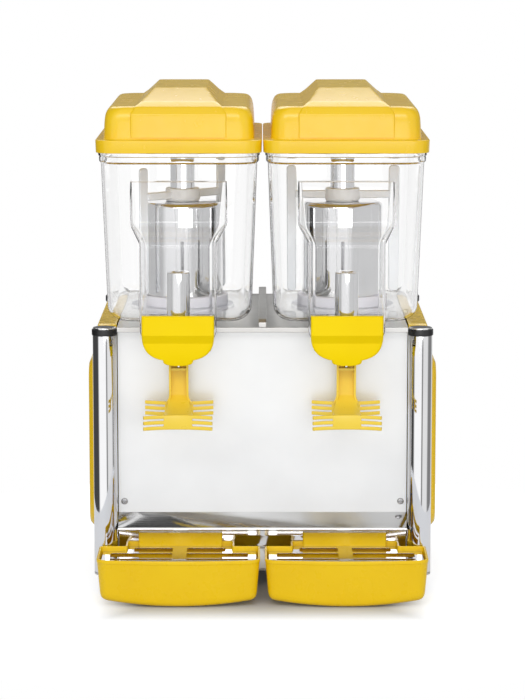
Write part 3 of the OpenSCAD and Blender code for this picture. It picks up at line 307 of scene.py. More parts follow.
lidAbs = mouldedPlastic("glossMouldedAbsLid", "F5CC18", "F2C612", (0.2, 0.28))
tapAbs = mouldedPlastic("satinMouldedAbsTap", "F8D800", "F6D400", (0.34, 0.44), worn="FFE650", shine=0.08)
# the lever's yellow is paler than the lids' to make up for the shade it sits in under the tap cover: painted
# light
leverAbsPaintedLight = mouldedPlastic("glossMouldedAbsLever", "F6D644", "F3D03A", (0.26, 0.38))
trayAbs = mouldedPlastic("glossMouldedAbsTray", "F4CB10", "F1C60C", (0.24, 0.34), shine=0.3)
coverAbs = mouldedPlastic("glossMouldedAbsCover", "F4CB10", "F1C60C", (0.2, 0.3), shine=0.7)
whitePp = mouldedPlastic("mouldedPolypropyleneWhite", "F8FAFE", "F2F4F8", (0.35, 0.5), worn="FFFFFF")
paleSilicone = mouldedPlastic("castSiliconePale", "EDEBF1", "E4E2EA", (0.45, 0.6), ior=1.41, worn="F8F6FA")
blackAbs = mouldedPlastic("satinMouldedAbsBlack", "1B1B1D", "121214", (0.32, 0.5), 0.9, 0.12, worn="4A4A4C")
blackRubber = mouldedPlastic("mouldedRubberBlack", "1C1C1C", "131313", (0.6, 0.8), 0.8, 0.2, worn="3A3A3A")
greenAbs = mouldedPlastic("glossMouldedAbsGreen", "1F6B35", "175A2A", (0.25, 0.38), worn="63A878")
greyAbs = mouldedPlastic("satinMouldedAbsGrey", "8C8E91", "7F8184", (0.4, 0.55), worn="B4B6B8")
foamSleeve = mouldedPlastic("closedCellFoamBlack", "242426", "18181A", (0.75, 0.9), 2.5, 0.5, worn="333335")
blackEnamel = mouldedPlastic("stovedEnamelBlack", "17181A", "0F1012", (0.18, 0.32), 2.2, 0.1, worn="3A3B3D")
motorEnamel = mouldedPlastic("stovedEnamelGrey", "5C6166", "50555A", (0.3, 0.45), 2.0, 0.1, worn="8A8F94")
satinPanel = drawnSteel("satinStainlessPanel", "EFF0F1", "E9EAEB", (0.28, 0.38), 0, turn=0.3, metal=0.5)
satinSheet = drawnSteel("satinStainlessSheet", "C9C8C6", "BDBBB8", (0.26, 0.42), 0)
brightSheet = drawnSteel("brightStainlessSheet", "E2E2E2", "D8D8D8", (0.05, 0.11), 0)
polishedTube = drawnSteel("polishedStainlessTube", "E6E6E7", "DEDEE0", (0.03, 0.08), 2, line=1.2, relief=0.01)
polishedPlate = drawnSteel("polishedStainlessPlate", "E0E0E1", "D6D6D8", (0.04, 0.1), 0, line=1.0)
screwSteel = drawnSteel("turnedScrewSteel", "B9B9BA", "A6A6A8", (0.2, 0.35), 0, line=0.5)
finAluminium = drawnSteel("rolledAluminiumFins", "C4C7CA", "B4B7BA", (0.3, 0.5), 2)
drawnCopper = drawnSteel("drawnCopperTube", "C27A4E", "8E5334", (0.2, 0.4), 0)
clearTank = clearPolycarbonate("clearPolycarbonate")
print("finishes made")


# camera, light and floor

view = dict(place=(0, -3.6155, 0.840), pitch=8.66, lens=145.5)  # metres, degrees, mm on a 36 mm side
camData = bpy.data.cameras.new("camera")
camData.lens, camData.sensor_width, camData.clip_end = view["lens"], 36.0, 60.0
camera = bpy.data.objects.new("camera", camData)
camera.location, camera.rotation_euler = view["place"], (radians(90 - view["pitch"]), 0, 0)
scene.collection.objects.link(camera)
scene.camera = camera
scene.view_settings.view_transform = "Standard"

# levels of grey round the studio. Turns are in degrees from straight behind the machine, left is minus;
# forward and height run from -1 to 1, from in front to behind and from below to above
light = dict(
    mirrors=[(-180, 1.2), (-128, 1.2), (-114, 0.07), (-36, 0.07), (-24, 0.8), (40, 0.8), (58, 0.26),
             (96, 0.26), (110, 0.95), (152, 0.95), (156, 0.3), (164, 0.3), (169, 1.2), (180, 1.2)],
    clear=[(-180, 1.05), (-134, 1.05), (-120, 0.6), (-42, 0.6), (-26, 1.0), (26, 1.0), (50, 0.72),
           (150, 0.72), (165, 1.05), (180, 1.05)],
    forward=[(-1.0, 1.0), (-0.3, 0.95), (0.3, 0.5), (1.0, 0.36)],
    height=[(-1.0, 0.45), (-0.1, 0.6), (0.0, 1.12), (0.28, 1.12), (0.5, 0.85), (1.0, 0.46)],
    backdrop=0.17, card=[(1, 0.6, 0.8), (2, -0.02, 0.04), (2, 0.46, 0.34)])

# the sky: softer behind and above than in front for matt surfaces, dark cards at the sides for mirrors,
# mild ones for what is seen through the tanks, and plain white for the camera
world = bpy.data.worlds.new("studio")
world.use_nodes = True
scene.world = world
tree = world.node_tree
tree.nodes.clear()
way = addNode(tree, "ShaderNodeSeparateXYZ", {0: addNode(tree, "ShaderNodeTexCoord").outputs["Generated"]})
turn = addNode(tree, "ShaderNodeMath", {0: way.outputs[0], 1: way.outputs[1]}, operation="ARCTAN2")
spread = {"mirrors": (turn.outputs[0], np.pi, 180), "clear": (turn.outputs[0], np.pi, 180),
          "forward": (way.outputs[1], 1.0, 1.0), "height": (way.outputs[2], 1.0, 1.0)}
tones = {}
for name, (socket, reach, unit) in spread.items():
    at = addNode(tree, "ShaderNodeMapRange", {"Value": socket, "From Min": -reach, "From Max": reach})
    ramp = addNode(tree, "ShaderNodeValToRGB", {0: at.outputs[0]})
    stops = [((place / unit + 1) / 2, level) for place, level in light[name]]
    for place, level in stops[1:-1]:
        ramp.color_ramp.elements.new(place)
    for element, (place, level) in zip(ramp.color_ramp.elements, stops):
        element.position, element.color = place, (level, level, level, 1)
    tones[name] = ramp.outputs[0]
soft = addNode(tree, "ShaderNodeMix", {0: 1.0, 6: tones["forward"], 7: tones["height"]},
               data_type="RGBA", blend_type="MULTIPLY")
# a grey card low behind the machine, which level tops mirror; each of its edges fades over a stretch of
# one axis, from clear to full
card = 1.0
for axis, clear, full in light["card"]:
    fade = addNode(tree, "ShaderNodeMapRange",
                   {"Value": way.outputs[axis], "From Min": clear, "From Max": full})
    card = addNode(tree, "ShaderNodeMath", {0: card, 1: fade.outputs[0]}, operation="MULTIPLY").outputs[0]
grey = [light["backdrop"]] * 3 + [1.0]
shine = addNode(tree, "ShaderNodeMix", {0: card, 6: tones["mirrors"], 7: grey}, data_type="RGBA")
ray = addNode(tree, "ShaderNodeLightPath")
sky = soft.outputs[2]
for kind, tone in (("Is Glossy Ray", shine.outputs[2]), ("Is Transmission Ray", tones["clear"]),
                   ("Is Camera Ray", (1, 1, 1, 1))):
    sky = addNode(tree, "ShaderNodeMix", {0: ray.outputs[kind], 6: sky, 7: tone}, data_type="RGBA").outputs[2]
dome = addNode(tree, "ShaderNodeBackground", {"Color": sky, "Strength": 1.0})
addNode(tree, "ShaderNodeOutputWorld", {"Surface": dome.outputs[0]})


# soft boxes (place, size, power), in metres and watts, and the point they all face
lamps = dict(keyBox=((-0.25, -2.6, 1.9), (2.2, 0.6), 18.0), fillBox=((0.4, -2.7, 0.55), (2.0, 0.5), 8.5),
             rearBox=((0.0, 1.8, 2.2), (2.0, 1.4), 20.0))
lampAim = np.array([0, -0.05, 0.34])


def softBox(name, place, size, power):
    data = bpy.data.lights.new(name, "AREA")
    data.shape, data.size, data.size_y, data.energy = "RECTANGLE", size[0], size[1], power
    lamp = bpy.data.objects.new(name, data)
    lamp.location = place
    aim = lampAim - place
    tilt = np.arctan2(np.hypot(aim[0], aim[1]), -aim[2])
    lamp.rotation_euler = (tilt, 0, np.arctan2(aim[0], -aim[1]) + np.pi)
    scene.collection.objects.link(lamp)


for name, (place, size, power) in lamps.items():
    softBox(name, place, size, power)

# a disc of pale floor, rings of points at growing radii; past the machine, across (x) and along (y), its glow
# rises to plain white, and mirrors see half of that glow; under and beside the machine the glow is held low,
# a painted shadow that deepens the real one
floor = dict(rings=(50.0, 150, 300, 450, 620), steps=96, x=(0.14, 0.22), y=(0.205, 0.3), glow=0.68,
             mirrored=0.5, blend=0.1)
disc = np.linspace(0, 2 * np.pi, floor["steps"], endpoint=False)
circle = np.stack([np.cos(disc), np.sin(disc), 0 * disc], -1)
floorRings = np.array(floor["rings"])[:, None, None] * circle
floorVerts, floorFaces = stacked(floorRings, "open")
spoke = np.arange(floor["steps"])
fan = np.stack([np.full_like(spoke, len(floorVerts)), (spoke + 1) % len(spoke), spoke], -1)
floorMesh = bpy.data.meshes.new("floor")
floorMesh.from_pydata((np.vstack([floorVerts, [[0, 0, 0]]]) * mm).tolist(), [], floorFaces + fan.tolist())
floorFinish, tree, at = startFinish("paintedFloorWhite")
speck = addNode(tree, "ShaderNodeTexNoise", {"Vector": at, "Scale": 1 / 0.004, "Detail": 2.0})
grit = addNode(tree, "ShaderNodeBump", {"Height": speck.outputs["Fac"], "Strength": 0.02, "Distance": 0.0005})
far = addNode(tree, "ShaderNodeVectorMath", {0: at}, operation="ABSOLUTE")
apart = addNode(tree, "ShaderNodeSeparateXYZ", {0: far.outputs[0]})
# glow ramps that stay low near the machine: the painted shadow on the floor
rise = []
for k, axis in enumerate("xy"):
    rise.append(addNode(tree, "ShaderNodeMapRange",
                        {"Value": apart.outputs[k], "From Min": floor[axis][0], "From Max": floor[axis][1],
                         "To Max": floor["glow"]}, interpolation_type="SMOOTHSTEP").outputs[0])
glow = addNode(tree, "ShaderNodeMath", {0: rise[0], 1: rise[1], 2: floor["blend"]}, operation="SMOOTH_MAX")
ray = addNode(tree, "ShaderNodeLightPath")
part = addNode(tree, "ShaderNodeMath", {0: ray.outputs["Is Glossy Ray"], 1: floor["mirrored"]},
               operation="MULTIPLY")
seen = part.outputs[0]
for kind in ("Is Camera Ray", "Is Transmission Ray"):
    seen = addNode(tree, "ShaderNodeMath", {0: seen, 1: ray.outputs[kind]}, operation="MAXIMUM").outputs[0]
lit = addNode(tree, "ShaderNodeMath", {0: seen, 1: glow.outputs[0]}, operation="MULTIPLY")
endFinish(tree, {"Base Color": hexColor("CBCFD6"), "Roughness": 0.9, "Specular IOR Level": 0.1,
                 "Normal": grit.outputs[0], "Emission Color": (1, 1, 1, 1),
                 "Emission Strength": lit.outputs[0]})
floorMesh.materials.append(floorFinish)
objectOf("floor", floorMesh)
print("camera, light and floor set")


# lids

lid = dict(half=103.5, front=-131.0, back=190.0, foot=554.0, ledge=570.5, top=611.0, shoulder=20.0, wall=2.6,
           corner=22.0, flat=(36.0, 70.0), side=12.4, sideFoot=10.2, ledgeIn=9.6, ridgeHalf=59.5,
           ridgeTop=629.5, panelBack=-116.5)


# row of the lid drawn in from its skirt
def lidRow(inset, z, corner=None):
    r = max(lid["corner"] - 0.35 * inset, 6) if corner is None else corner
    return [lid["half"] - inset, lid["front"] + inset, lid["back"] - inset, z, r]


# skirt, ledge, side, shoulder and flat top, then the same inside, a wall lower and further in
def lidShell():
    t, w, ledge, side, (near, deep) = lid["top"], lid["wall"], lid["ledge"], lid["side"], lid["flat"]
    out = [lidRow(deep, t, 12), lidRow(near, t, 22), lidRow(side, t), lidRow(lid["sideFoot"], ledge + 1),
           lidRow(lid["ledgeIn"], ledge), lidRow(0, ledge - 0.4), lidRow(0.6, lid["foot"])]
    inn = [lidRow(w + 0.4, lid["foot"]), lidRow(w, ledge - w), lidRow(10.5 + w, ledge - w + 0.6),
           lidRow(side + w, t - w), lidRow(near, t - w, 20), lidRow(deep, t - w, 12)]
    cuts = [0, 0, lid["shoulder"], 2.0, 1.2, 1.5, 0.8, 0.8, 1, 1, lid["shoulder"] - w, 0, 0]
    return stacked(rectLoops(softRows(out + inn, cuts, 7, [1, 3]), arc=10, side=10))


# centre ridge: a proud front panel, a steep step, a shallow one, a ramp and a flat top,
# rows (half width, front, back, height, corner) that narrow as they climb
def lidRidge():
    h, t, b = lid["ridgeHalf"], lid["ridgeTop"], lid["panelBack"]
    rows = [[h, -121.9, b, 573.0, 2.0], [h, -120.9, b, 599.0, 2.0], [h, -120.6, 172.0, 602.0, 2.0],
            [55.0, -113.5, 169.0, 610.4, 3.0], [47.0, -99.0, 166.0, 616.2, 4.0],
            [33.0, -23.0, 162.0, t - 0.4, 4.0], [31.0, -18.0, 158.0, t, 3.5], [8.0, 40.0, 110.0, t, 3.0]]
    cuts = [0, 1.0, 1.8, 2.2, 2.2, 2.0, 1.5, 0]
    return stacked(rectLoops(softRows(rows, cuts, 4, [0, 1, 3]), arc=5, side=12))


for side, x in sides.items():
    mesh = meshOf("lid." + side, [moved(s, x) for s in (lidShell(), lidRidge())])
    piece("lid." + side, mesh, lidAbs, "lid_" + side, ["lid_" + side], 32)
print("lids made")


# tanks

tank = dict(half=98.0, front=-125.5, back=184.5, floor=341.0, top=554.0, draft=8.0, wall=3.5, corner=30.0,
            floorRound=20.0, noseHalf=47.5, noseFront=-170.5, noseFoot=312.0, footIn=6.5, noseWall=1.8,
            noseBack=-124.5, noseIn=-104.0, step=349.0, browHalf=60.5, browFront=-137.5, browLow=446.0,
            browHigh=466.0, browTop=520.0, browLean=-125.9, levels=[420.0, 500.0, 539.6],
            flange=[[540.2, 0], [542.6, 2.0], [546.8, 2.2], [548.8, 1.7], [549.8, 3.0], [553.4, 3.0],
                    [554.0, 2.4]],
            mouth=[[556.0, 0.2], [560.0, 0.2]], hole=58.6, holeY=54.5, holeCut=(330.0, 352.0), spout=8.0,
            spoutY=-148.5, spoutEnds=(302.0, 316.0), bore=6.0, boreCut=(298.0, 322.0))


# the basin drawn in by g: a quarter round up from the floor, drafted walls, and rows (height, outset) on
# top: the flange's steps outside, the mouth inside
def basinShell(g, topRows):
    a = np.linspace(0, np.pi / 2, 9)
    r = tank["floorRound"] - g
    steps = np.array(topRows)
    z = np.concatenate([tank["floor"] + g + r * (1 - np.cos(a)), tank["levels"], steps[:, 0]])
    cut = np.concatenate([r * (1 - np.sin(a)), [0] * len(tank["levels"]), -steps[:, 1]])
    inset = g + cut + tank["draft"] * (tank["top"] - z) / (tank["top"] - tank["floor"])
    rows = np.stack([tank["half"] - inset, tank["front"] + inset, tank["back"] - inset, z,
                     np.maximum(tank["corner"] - g - cut, 4)], -1)
    return stacked(rectLoops(rows, arc=12, side=8))


# the nose drawn in by g: a narrow rounded foot behind the tap, an upright run, a shoulder out to the
# wider brow, and a lean back to the wall
def noseShell(g):
    h, f, b = tank["noseHalf"] - g, tank["noseFront"] + g, tank["noseBack"] - g
    y, z, step = tank["noseIn"] + 4 * (g > 0), tank["noseFoot"] + g, tank["step"] + g
    wide, brow = tank["browHalf"] - g, tank["browFront"] + g
    foot = h - tank["footIn"]
    rows = [[foot - 6, f + 6, b - 6, z, 3], [foot, f, b, z, 7], [foot, f, b, z + 10, 8], [h, f, b, z + 24, 8],
            [h, f, b, step, 8], [h, f, y, step + 1.5, 8], [h, f, y, tank["browLow"], 8],
            [wide, brow, y, tank["browHigh"], 9], [wide, tank["browLean"] + g, y, tank["browTop"] - g, 4]]
    cuts = [0, 6, 4, 5, 0.4, 0.4, 5, 5, 0]
    return stacked(rectLoops(softRows(rows, cuts, 5, [0, 1, 3]), arc=6, side=4))


def tankMesh():
    body = objectOf("tankBody", meshOf("tankBody", [basinShell(0, tank["flange"])]))
    r, (low, high), tapAxis = tank["spout"], tank["spoutEnds"], (0, tank["spoutY"], 0)
    spout = turned(softRows([[0.01, low], [r, low], [r, high], [0.01, high]], 1.0), tapAxis)
    carve(body, objectOf("nose", meshOf("nose", [noseShell(0)])), "UNION")
    carve(body, objectOf("spout", meshOf("spout", [spout])), "UNION")
    inside = basinShell(tank["wall"], tank["mouth"])
    hole = turned([[tank["hole"], z] for z in tank["holeCut"]], (0, tank["holeY"], 0), steps=96)
    bore = turned([[tank["bore"], z] for z in tank["boreCut"]], tapAxis)
    for k, shell in enumerate((inside, noseShell(tank["noseWall"]), hole, bore)):
        carve(body, objectOf("cut%d" % k, meshOf("cut%d" % k, [shell])))
    mesh = body.data.copy()
    bpy.data.objects.remove(body)
    return mesh


# a copy of a mesh, stretched and moved as a whole
def copied(mesh, stretch=(1, 1, 1), shift=(0, 0, 0)):
    twin = mesh.copy()
    co = np.empty(len(twin.vertices) * 3)
    twin.vertices.foreach_get("co", co)
    twin.vertices.foreach_set("co", (co.reshape(-1, 3) * stretch + shift).reshape(-1))
    if np.prod(stretch) < 0:
        twin.flip_normals()
    return twin


plainTank = tankMesh()
for side, x in sides.items():
    mesh = copied(plainTank, shift=(x * mm, 0, 0))
    obj = piece("tank." + side, mesh, clearTank, "tank_" + side, ["tank_" + side], 30)
    obj.modifiers.new("shade", "WEIGHTED_NORMAL").keep_sharp = True
print("tanks made")


# cooling cylinders, seals, stirrers and plungers

cooling = dict(y=54.5, r=52.0, foot=336.0, top=478.0, neck=16.0, neckTop=530.0)
stir = dict(hub=23.0, bore=16.3, hubFoot=478.3, hubTop=495.3, bar=(481.8, 491.8), barReach=(19.0, 62.0),
            reach=74.0, blade=14.0, low=360.0, high=524.0, turn={"left": 43.0, "right": 0.0})
valve = dict(y=-148.5, r=14.5, foot=318.8, top=409.5, stem=2.5, stemFoot=290.0)


# a flat blade or bar: a rounded rectangle in the plane of radius and height, pillowed over its thickness
def paddle(r0, r1, z0, z1, t, corner, angle):
    mid, half = (r0 + r1) / 2, (r1 - r0) / 2
    rows = [[half - 1, z0 + 1, z1 - 1, -t, corner - 1], [half, z0, z1, -t + 1, corner],
            [half, z0, z1, t - 1, corner], [half - 1, z0 + 1, z1 - 1, t, corner - 1]]
    p = rectLoops(softRows(rows, [0, 0.5, 0.5, 0], 3), arc=6, side=3)
    c, s = np.cos(radians(angle)), np.sin(radians(angle))
    r, up, out = p[..., 0] + mid, p[..., 1], p[..., 2]
    return stacked(np.stack([r * c - out * s, r * s + out * c, up], -1))


for side, x in sides.items():
    c = cooling
    profile = [[0.01, c["foot"]], [c["r"], c["foot"]], [c["r"], c["top"]], [c["neck"], c["top"]],
               [c["neck"], c["neckTop"]], [0.01, c["neckTop"]]]
    shell = turned(softRows(profile, [0, 0.5, 7, 3, 4, 0], 8), (x, c["y"], 0), steps=128)
    piece("coolingCylinder." + side, meshOf("coolingCylinder." + side, [shell]), polishedTube, "cabinet",
          ["evaporator_" + side], 50)
    bore, hub, low, high = stir["bore"], stir["hub"], stir["hubFoot"], stir["hubTop"]
    rows = [[bore, low], [hub - 1.5, low], [hub, low + 4], [hub - 1, high], [bore, high], [bore, low]]
    shells = [turned(softRows(rows, 1.6)[:-1], (x, c["y"], 0), steps=72, ends="ring")]
    for half in (0, 180):
        a = stir["turn"][side] + half
        bar = paddle(*stir["barReach"], *stir["bar"], 4.0, 3.0, a)
        blade = paddle(stir["reach"] - stir["blade"], stir["reach"], stir["low"], stir["high"], 2.0, 5.0, a)
        shells += [moved(bar, x, c["y"]), moved(blade, x, c["y"])]
    piece("stirrer." + side, meshOf("stirrer." + side, shells), whitePp, "agitator_" + side,
          ["agitator_" + side])
    v = valve
    profile = [[0.01, v["stemFoot"]], [v["stem"], v["stemFoot"]], [v["stem"], v["foot"]],
               [v["r"], v["foot"]], [v["r"], v["top"]], [v["r"] - 5, v["top"]],
               [v["r"] - 6, v["top"] - 1.2], [0.01, v["top"] - 1.2]]
    shell = turned(softRows(profile, [0, 0.8, 0.2, 1.2, 1.8, 0.4, 0.4, 0], 5), (x, v["y"], 0), steps=96)
    piece("plunger." + side, meshOf("plunger." + side, [shell]), polishedTube, "plunger_" + side,
          ["plunger_" + side])

# sealing rings: a flat foot with a lip that stands inside the tank
seal = dict(bore=52.3, flange=68.3, lip=58.3, foot=336.0, seat=341.0, top=357.0)
bore, wide, lip, low, seat, top = seal.values()
rows = [[bore, low], [wide, low], [wide, seat], [lip, seat], [lip, top], [bore, top], [bore, low]]
profile = softRows(rows, 1.4)[:-1]
shells = [turned(profile, (x, cooling["y"], 0), steps=128, ends="ring") for x in sides.values()]
piece("sealingRings", meshOf("sealingRings", shells), paleSilicone, "cabinet", ["deck_gaskets"])
print("cooling cylinders, seals, stirrers and plungers made")


# taps

tap = dict(half=44.6, low=296.0, round=301.5, bend=336.5, tongue=18.5, square=2.8, top=358.0, crease=334.5,
           band=10.5, front=-181.5, nose=-170.8, tail=-136.5, edge=3.2, wall=2.6, slotHalf=12.6,
           slotFront=-169.5, slotTop=310.0, skirtTop=311.5, lean=2.6, stepIn=5.6, belly=1.2, tuck=2.5)


# the cover, drawn in by g: at each height a U in plan, from one back edge round the front to the other;
# its half width follows a squarish round bottom with a short tongue under it, |x|^n + |z|^n = 1, and its
# front leans back above the crease and steps in below it
def coverSheet(g):
    turn = np.linspace(0.02, np.pi / 2, 34)
    zArc = tap["bend"] - (tap["bend"] - tap["low"]) * np.cos(turn)
    z = np.concatenate([zArc, np.linspace(tap["bend"], tap["top"], 20)[1:], [tap["top"], tap["top"]]])
    fold = tap["crease"] - tap["band"]
    z = np.sort(np.concatenate([z, [tap["crease"], tap["crease"] - 0.5, fold, fold - 0.6]]))
    n = tap["square"]
    drop = np.clip((tap["bend"] - z) / (tap["bend"] - tap["round"]), 0, 1)
    lick = np.clip((tap["round"] - z) / (tap["round"] - tap["low"] + 0.1), 0, 1)
    half = np.maximum(tap["half"] * (1 - drop ** n) ** (1 / n), tap["tongue"] * (1 - lick ** n) ** (1 / n))
    over = np.clip((z - tap["crease"]) / (tap["top"] - tap["crease"]), 0, 1)
    under = np.clip((tap["crease"] - z) / tap["band"], 0, 1)
    low = np.clip((fold - z) / (fold - tap["low"]), 0, 1)
    face = tap["front"] + tap["lean"] * over + tap["stepIn"] * under
    face = face - tap["belly"] * low + tap["tuck"] * low ** 3
    lastTwo = np.arange(len(z)) >= len(z) - 2
    face = np.where(lastTwo, [0] * (len(z) - 2) + [face[-1] + 1.6, tap["nose"]], face)
    z = np.where(lastTwo, tap["top"] - g, np.minimum(z, tap["top"] - 1.5 * (over > 0.97) - g))
    half, face = np.maximum(half - g, 0.4), face + g
    back = np.where(z < tap["skirtTop"], tap["tail"], tap["nose"])
    r = np.minimum(tap["edge"], half * 0.8)
    side = np.array([0, 0.2, 0.4, 0.6, 0.8, 0.999])
    bend = np.linspace(0, np.pi / 2, 6)
    slot = np.minimum(np.maximum(tap["slotFront"], face + r), back)
    run = [back + (slot - back) * s for s in side] + [slot + (face + r - slot) * s for s in (0.0, 0.5)]
    ySide = np.stack(run, -1)
    yBend = (face + r)[:, None] - r[:, None] * np.sin(bend)
    xBend = (half - r)[:, None] + r[:, None] * np.cos(bend)
    across = np.linspace(1, -1, 14)[1:-1]
    xFront, yFront = (half - r)[:, None] * across, np.repeat(face[:, None], 12, 1)
    xs = np.repeat(half[:, None], 8, 1)
    x = np.concatenate([xs, xBend, xFront, -xBend[:, ::-1], -xs], 1)
    y = np.concatenate([ySide, yBend, yFront, yBend[:, ::-1], ySide[:, ::-1]], 1)
    return np.stack([x, y, np.repeat(z[:, None], x.shape[1], 1)], -1)


coverOut, coverIn = coverSheet(0.0), coverSheet(tap["wall"])
coverIn[..., 2] = np.maximum(coverIn[..., 2], tap["low"] + tap["wall"])
middle = (coverOut[:-1, :-1] + coverOut[1:, 1:]) / 2
inSlot = (np.abs(middle[..., 0]) < tap["slotHalf"]) & (middle[..., 1] > tap["slotFront"])
slotCells = inSlot & (middle[..., 2] < tap["slotTop"])

arm = dict(half=12.0, wall=2.5, back=-139.5, top=303.0, web=294.6, foot=246.0, comb=42.0, combMid=17.5,
           radius=100.0, gap=2.6, thick=1.75, combHeight=18.0, pitch=50.0, step=9.0, footTop=263.0,
           footDrop=26.4, footReach=48.5, footThick=4.2, fineTop=262.0, flareTop=256.0, flareHigh=12.0,
           flareOut=5.0, depthAt=[244, 254, 292, 303], depth=[7, 9.5, 16.5, 23.5], bridgeHalf=11.9,
           bridgeY=(-153.5, -145.5), bridgeZ=(286.7, 289.7))


# heights of the channel's rows: fine over the flared foot, with one row where the web ends
def channelHeights():
    foot = np.linspace(arm["foot"] - 2, arm["fineTop"], 14)
    web = np.linspace(arm["fineTop"], arm["web"], 12)
    return np.concatenate([foot, web[1:], np.linspace(arm["web"], arm["top"], 5)[1:]])


# the lever's channel: at each height a U in plan, open to the front; it is deepest at the pin and flares
# at its foot
def channelSheet(g):
    z = channelHeights()
    flare = np.clip((arm["flareTop"] - z) / arm["flareHigh"], 0, 1.0)
    half = arm["half"] + arm["flareOut"] * flare ** 2 - g
    deep = np.interp(z, arm["depthAt"], arm["depth"])
    t = np.linspace(0, 1, 8)
    back = np.full_like(z, arm["back"]) - g
    front = arm["back"] - deep
    ySide = front[:, None] + (back - front)[:, None] * t
    xs = np.repeat(half[:, None], 8, 1)
    across = np.linspace(1, -1, 12)[1:-1]
    x = np.concatenate([xs, half[:, None] * across, -xs], 1)
    y = np.concatenate([ySide, np.repeat(back[:, None], 10, 1), ySide[:, ::-1]], 1)
    return np.stack([x, y, np.repeat(z[:, None], x.shape[1], 1)], -1)


# cells of the channel's web over its end, which leaves the two arms free
webCells = np.zeros((len(channelHeights()) - 1, 25), bool)
webCells[channelHeights()[:-1] > arm["web"] - 0.01, 7:18] = True


# a comb: a middle plate and three fingers on each side, all on one bow of the given sign
def combShells(y, z0, sign):
    def bowed(a, b, n):
        px = np.linspace(a, b, n)
        return np.stack([px, y + sign * (arm["radius"] - np.sqrt(arm["radius"] ** 2 - px ** 2))], -1)
    tall = (arm["combHeight"] - 2 * arm["gap"]) / 3
    mid, thick = arm["combMid"], arm["thick"]
    shells = [barAlong(bowed(-mid, mid, 13), thick, z0, z0 + arm["combHeight"], 0.9)]
    for k in range(3):
        low = z0 + k * (tall + arm["gap"])
        for s in (-1, 1):
            shells.append(barAlong(bowed(s * (mid - 1.5), s * arm["comb"], 11), thick, low, low + tall, 0.9))
    return shells


# the foot: a plate from the channel down and out to the front comb, a quarter oval in side view, that
# widens from the channel to the comb, faster towards the comb
def footShell():
    t = np.linspace(0, 1, 17)
    y = arm["back"] - arm["footReach"] * (1 - np.cos(t * np.pi / 2))
    top = arm["footTop"] - arm["footDrop"] * np.sin(t * np.pi / 2)
    half = arm["half"] + (arm["combMid"] - arm["half"]) * np.clip(1.25 * t - 0.05, 0, 1) ** 2
    x = half[:, None] * np.linspace(-1, 1, 9)
    grid = np.stack(np.broadcast_arrays(x, y[:, None], top[:, None]), -1)
    return thickSheet(grid, grid - (0, 0, arm["footThick"]))


for side, x in sides.items():
    mesh = meshOf("tapCover." + side, [moved(thickSheet(coverOut, coverIn, slotCells), x)])
    piece("tapCover." + side, mesh, tapAbs, "tank_" + side, ["tap_cover_" + side], 24)
    bridge = rectLoops(softRows([[arm["bridgeHalf"], *arm["bridgeY"], z, 1] for z in arm["bridgeZ"]], 0))
    channel = thickSheet(channelSheet(0.0), channelSheet(arm["wall"]), webCells)
    shells = [channel, stacked(bridge), footShell()]
    rear, front = arm["back"] - arm["thick"], arm["back"] - arm["pitch"] + arm["thick"]
    shells += combShells(rear, arm["foot"] - arm["combHeight"], 1)
    shells += combShells(front, arm["foot"] - arm["step"] - arm["combHeight"], -1)
    mesh = meshOf("lever." + side, [moved(s, x) for s in shells])
    piece("lever." + side, mesh, leverAbsPaintedLight, "lever_" + side, ["lever_" + side], 30)
print("taps made")


# drip trays

tray = dict(half=101.0, front=-213.5, bow=7.0, wing=-132.0, mid=68.5, back=-101.8, rim=60.0, low=1.0,
            rise=8.0, draft=4.0, wall=2.5, upstandHalf=53.0, upstandTop=71.6, corner=13.0, bowFrom=-172.0)


# one loop of the tray for each row (inset, height, share of the bowed bottom): a T in plan with
# rounded corners
def trayLoops(rows, arc=7, side=14):
    d, z, share = (c[:, None] for c in np.asarray(rows, float).T)
    less = np.minimum(d, 6)
    w, m = tray["half"] - d, tray["mid"] - less
    f, g, b = tray["front"] + d, tray["wing"] - less, tray["back"] - less
    r, two, three = np.maximum(tray["corner"] - d, 5), 2 + 0 * d, 3 + 0 * d
    spots = [(w, f, r), (w, g, three), (m, g, two), (m, b, three), (-m, b, three), (-m, g, two),
             (-w, g, three), (-w, f, r)]
    pts = np.stack([np.concatenate(s, 1) for s in spots], 1)
    xy, rad = pts[..., :2], pts[..., 2:]
    u, v = np.roll(xy, 1, 1) - xy, np.roll(xy, -1, 1) - xy
    u, v = (q / np.linalg.norm(q, axis=-1, keepdims=True) for q in (u, v))
    t = np.linspace(0, np.pi / 2, arc + 1)[None, None, :, None]
    mid = (xy + (u + v) * rad)[:, :, None]
    corner = mid - (v * rad)[:, :, None] * np.cos(t) - (u * rad)[:, :, None] * np.sin(t)
    s = (np.arange(1, side + 1) / (side + 1))[None, None, :, None]
    run = corner[:, :, -1:] * (1 - s) + np.roll(corner, -1, 1)[:, :, :1] * s
    loop = np.concatenate([corner, run], 2).reshape(len(d), -1, 2)
    px, py = loop[..., 0], loop[..., 1]
    py = py - np.where(py < tray["bowFrom"], tray["bow"] * np.clip(1 - (px / (w - 0.4 * r)) ** 2, 0, 1), 0)
    pz = z + share * tray["rise"] * (px / tray["half"]) ** 2
    return np.stack([px, py, pz], -1)


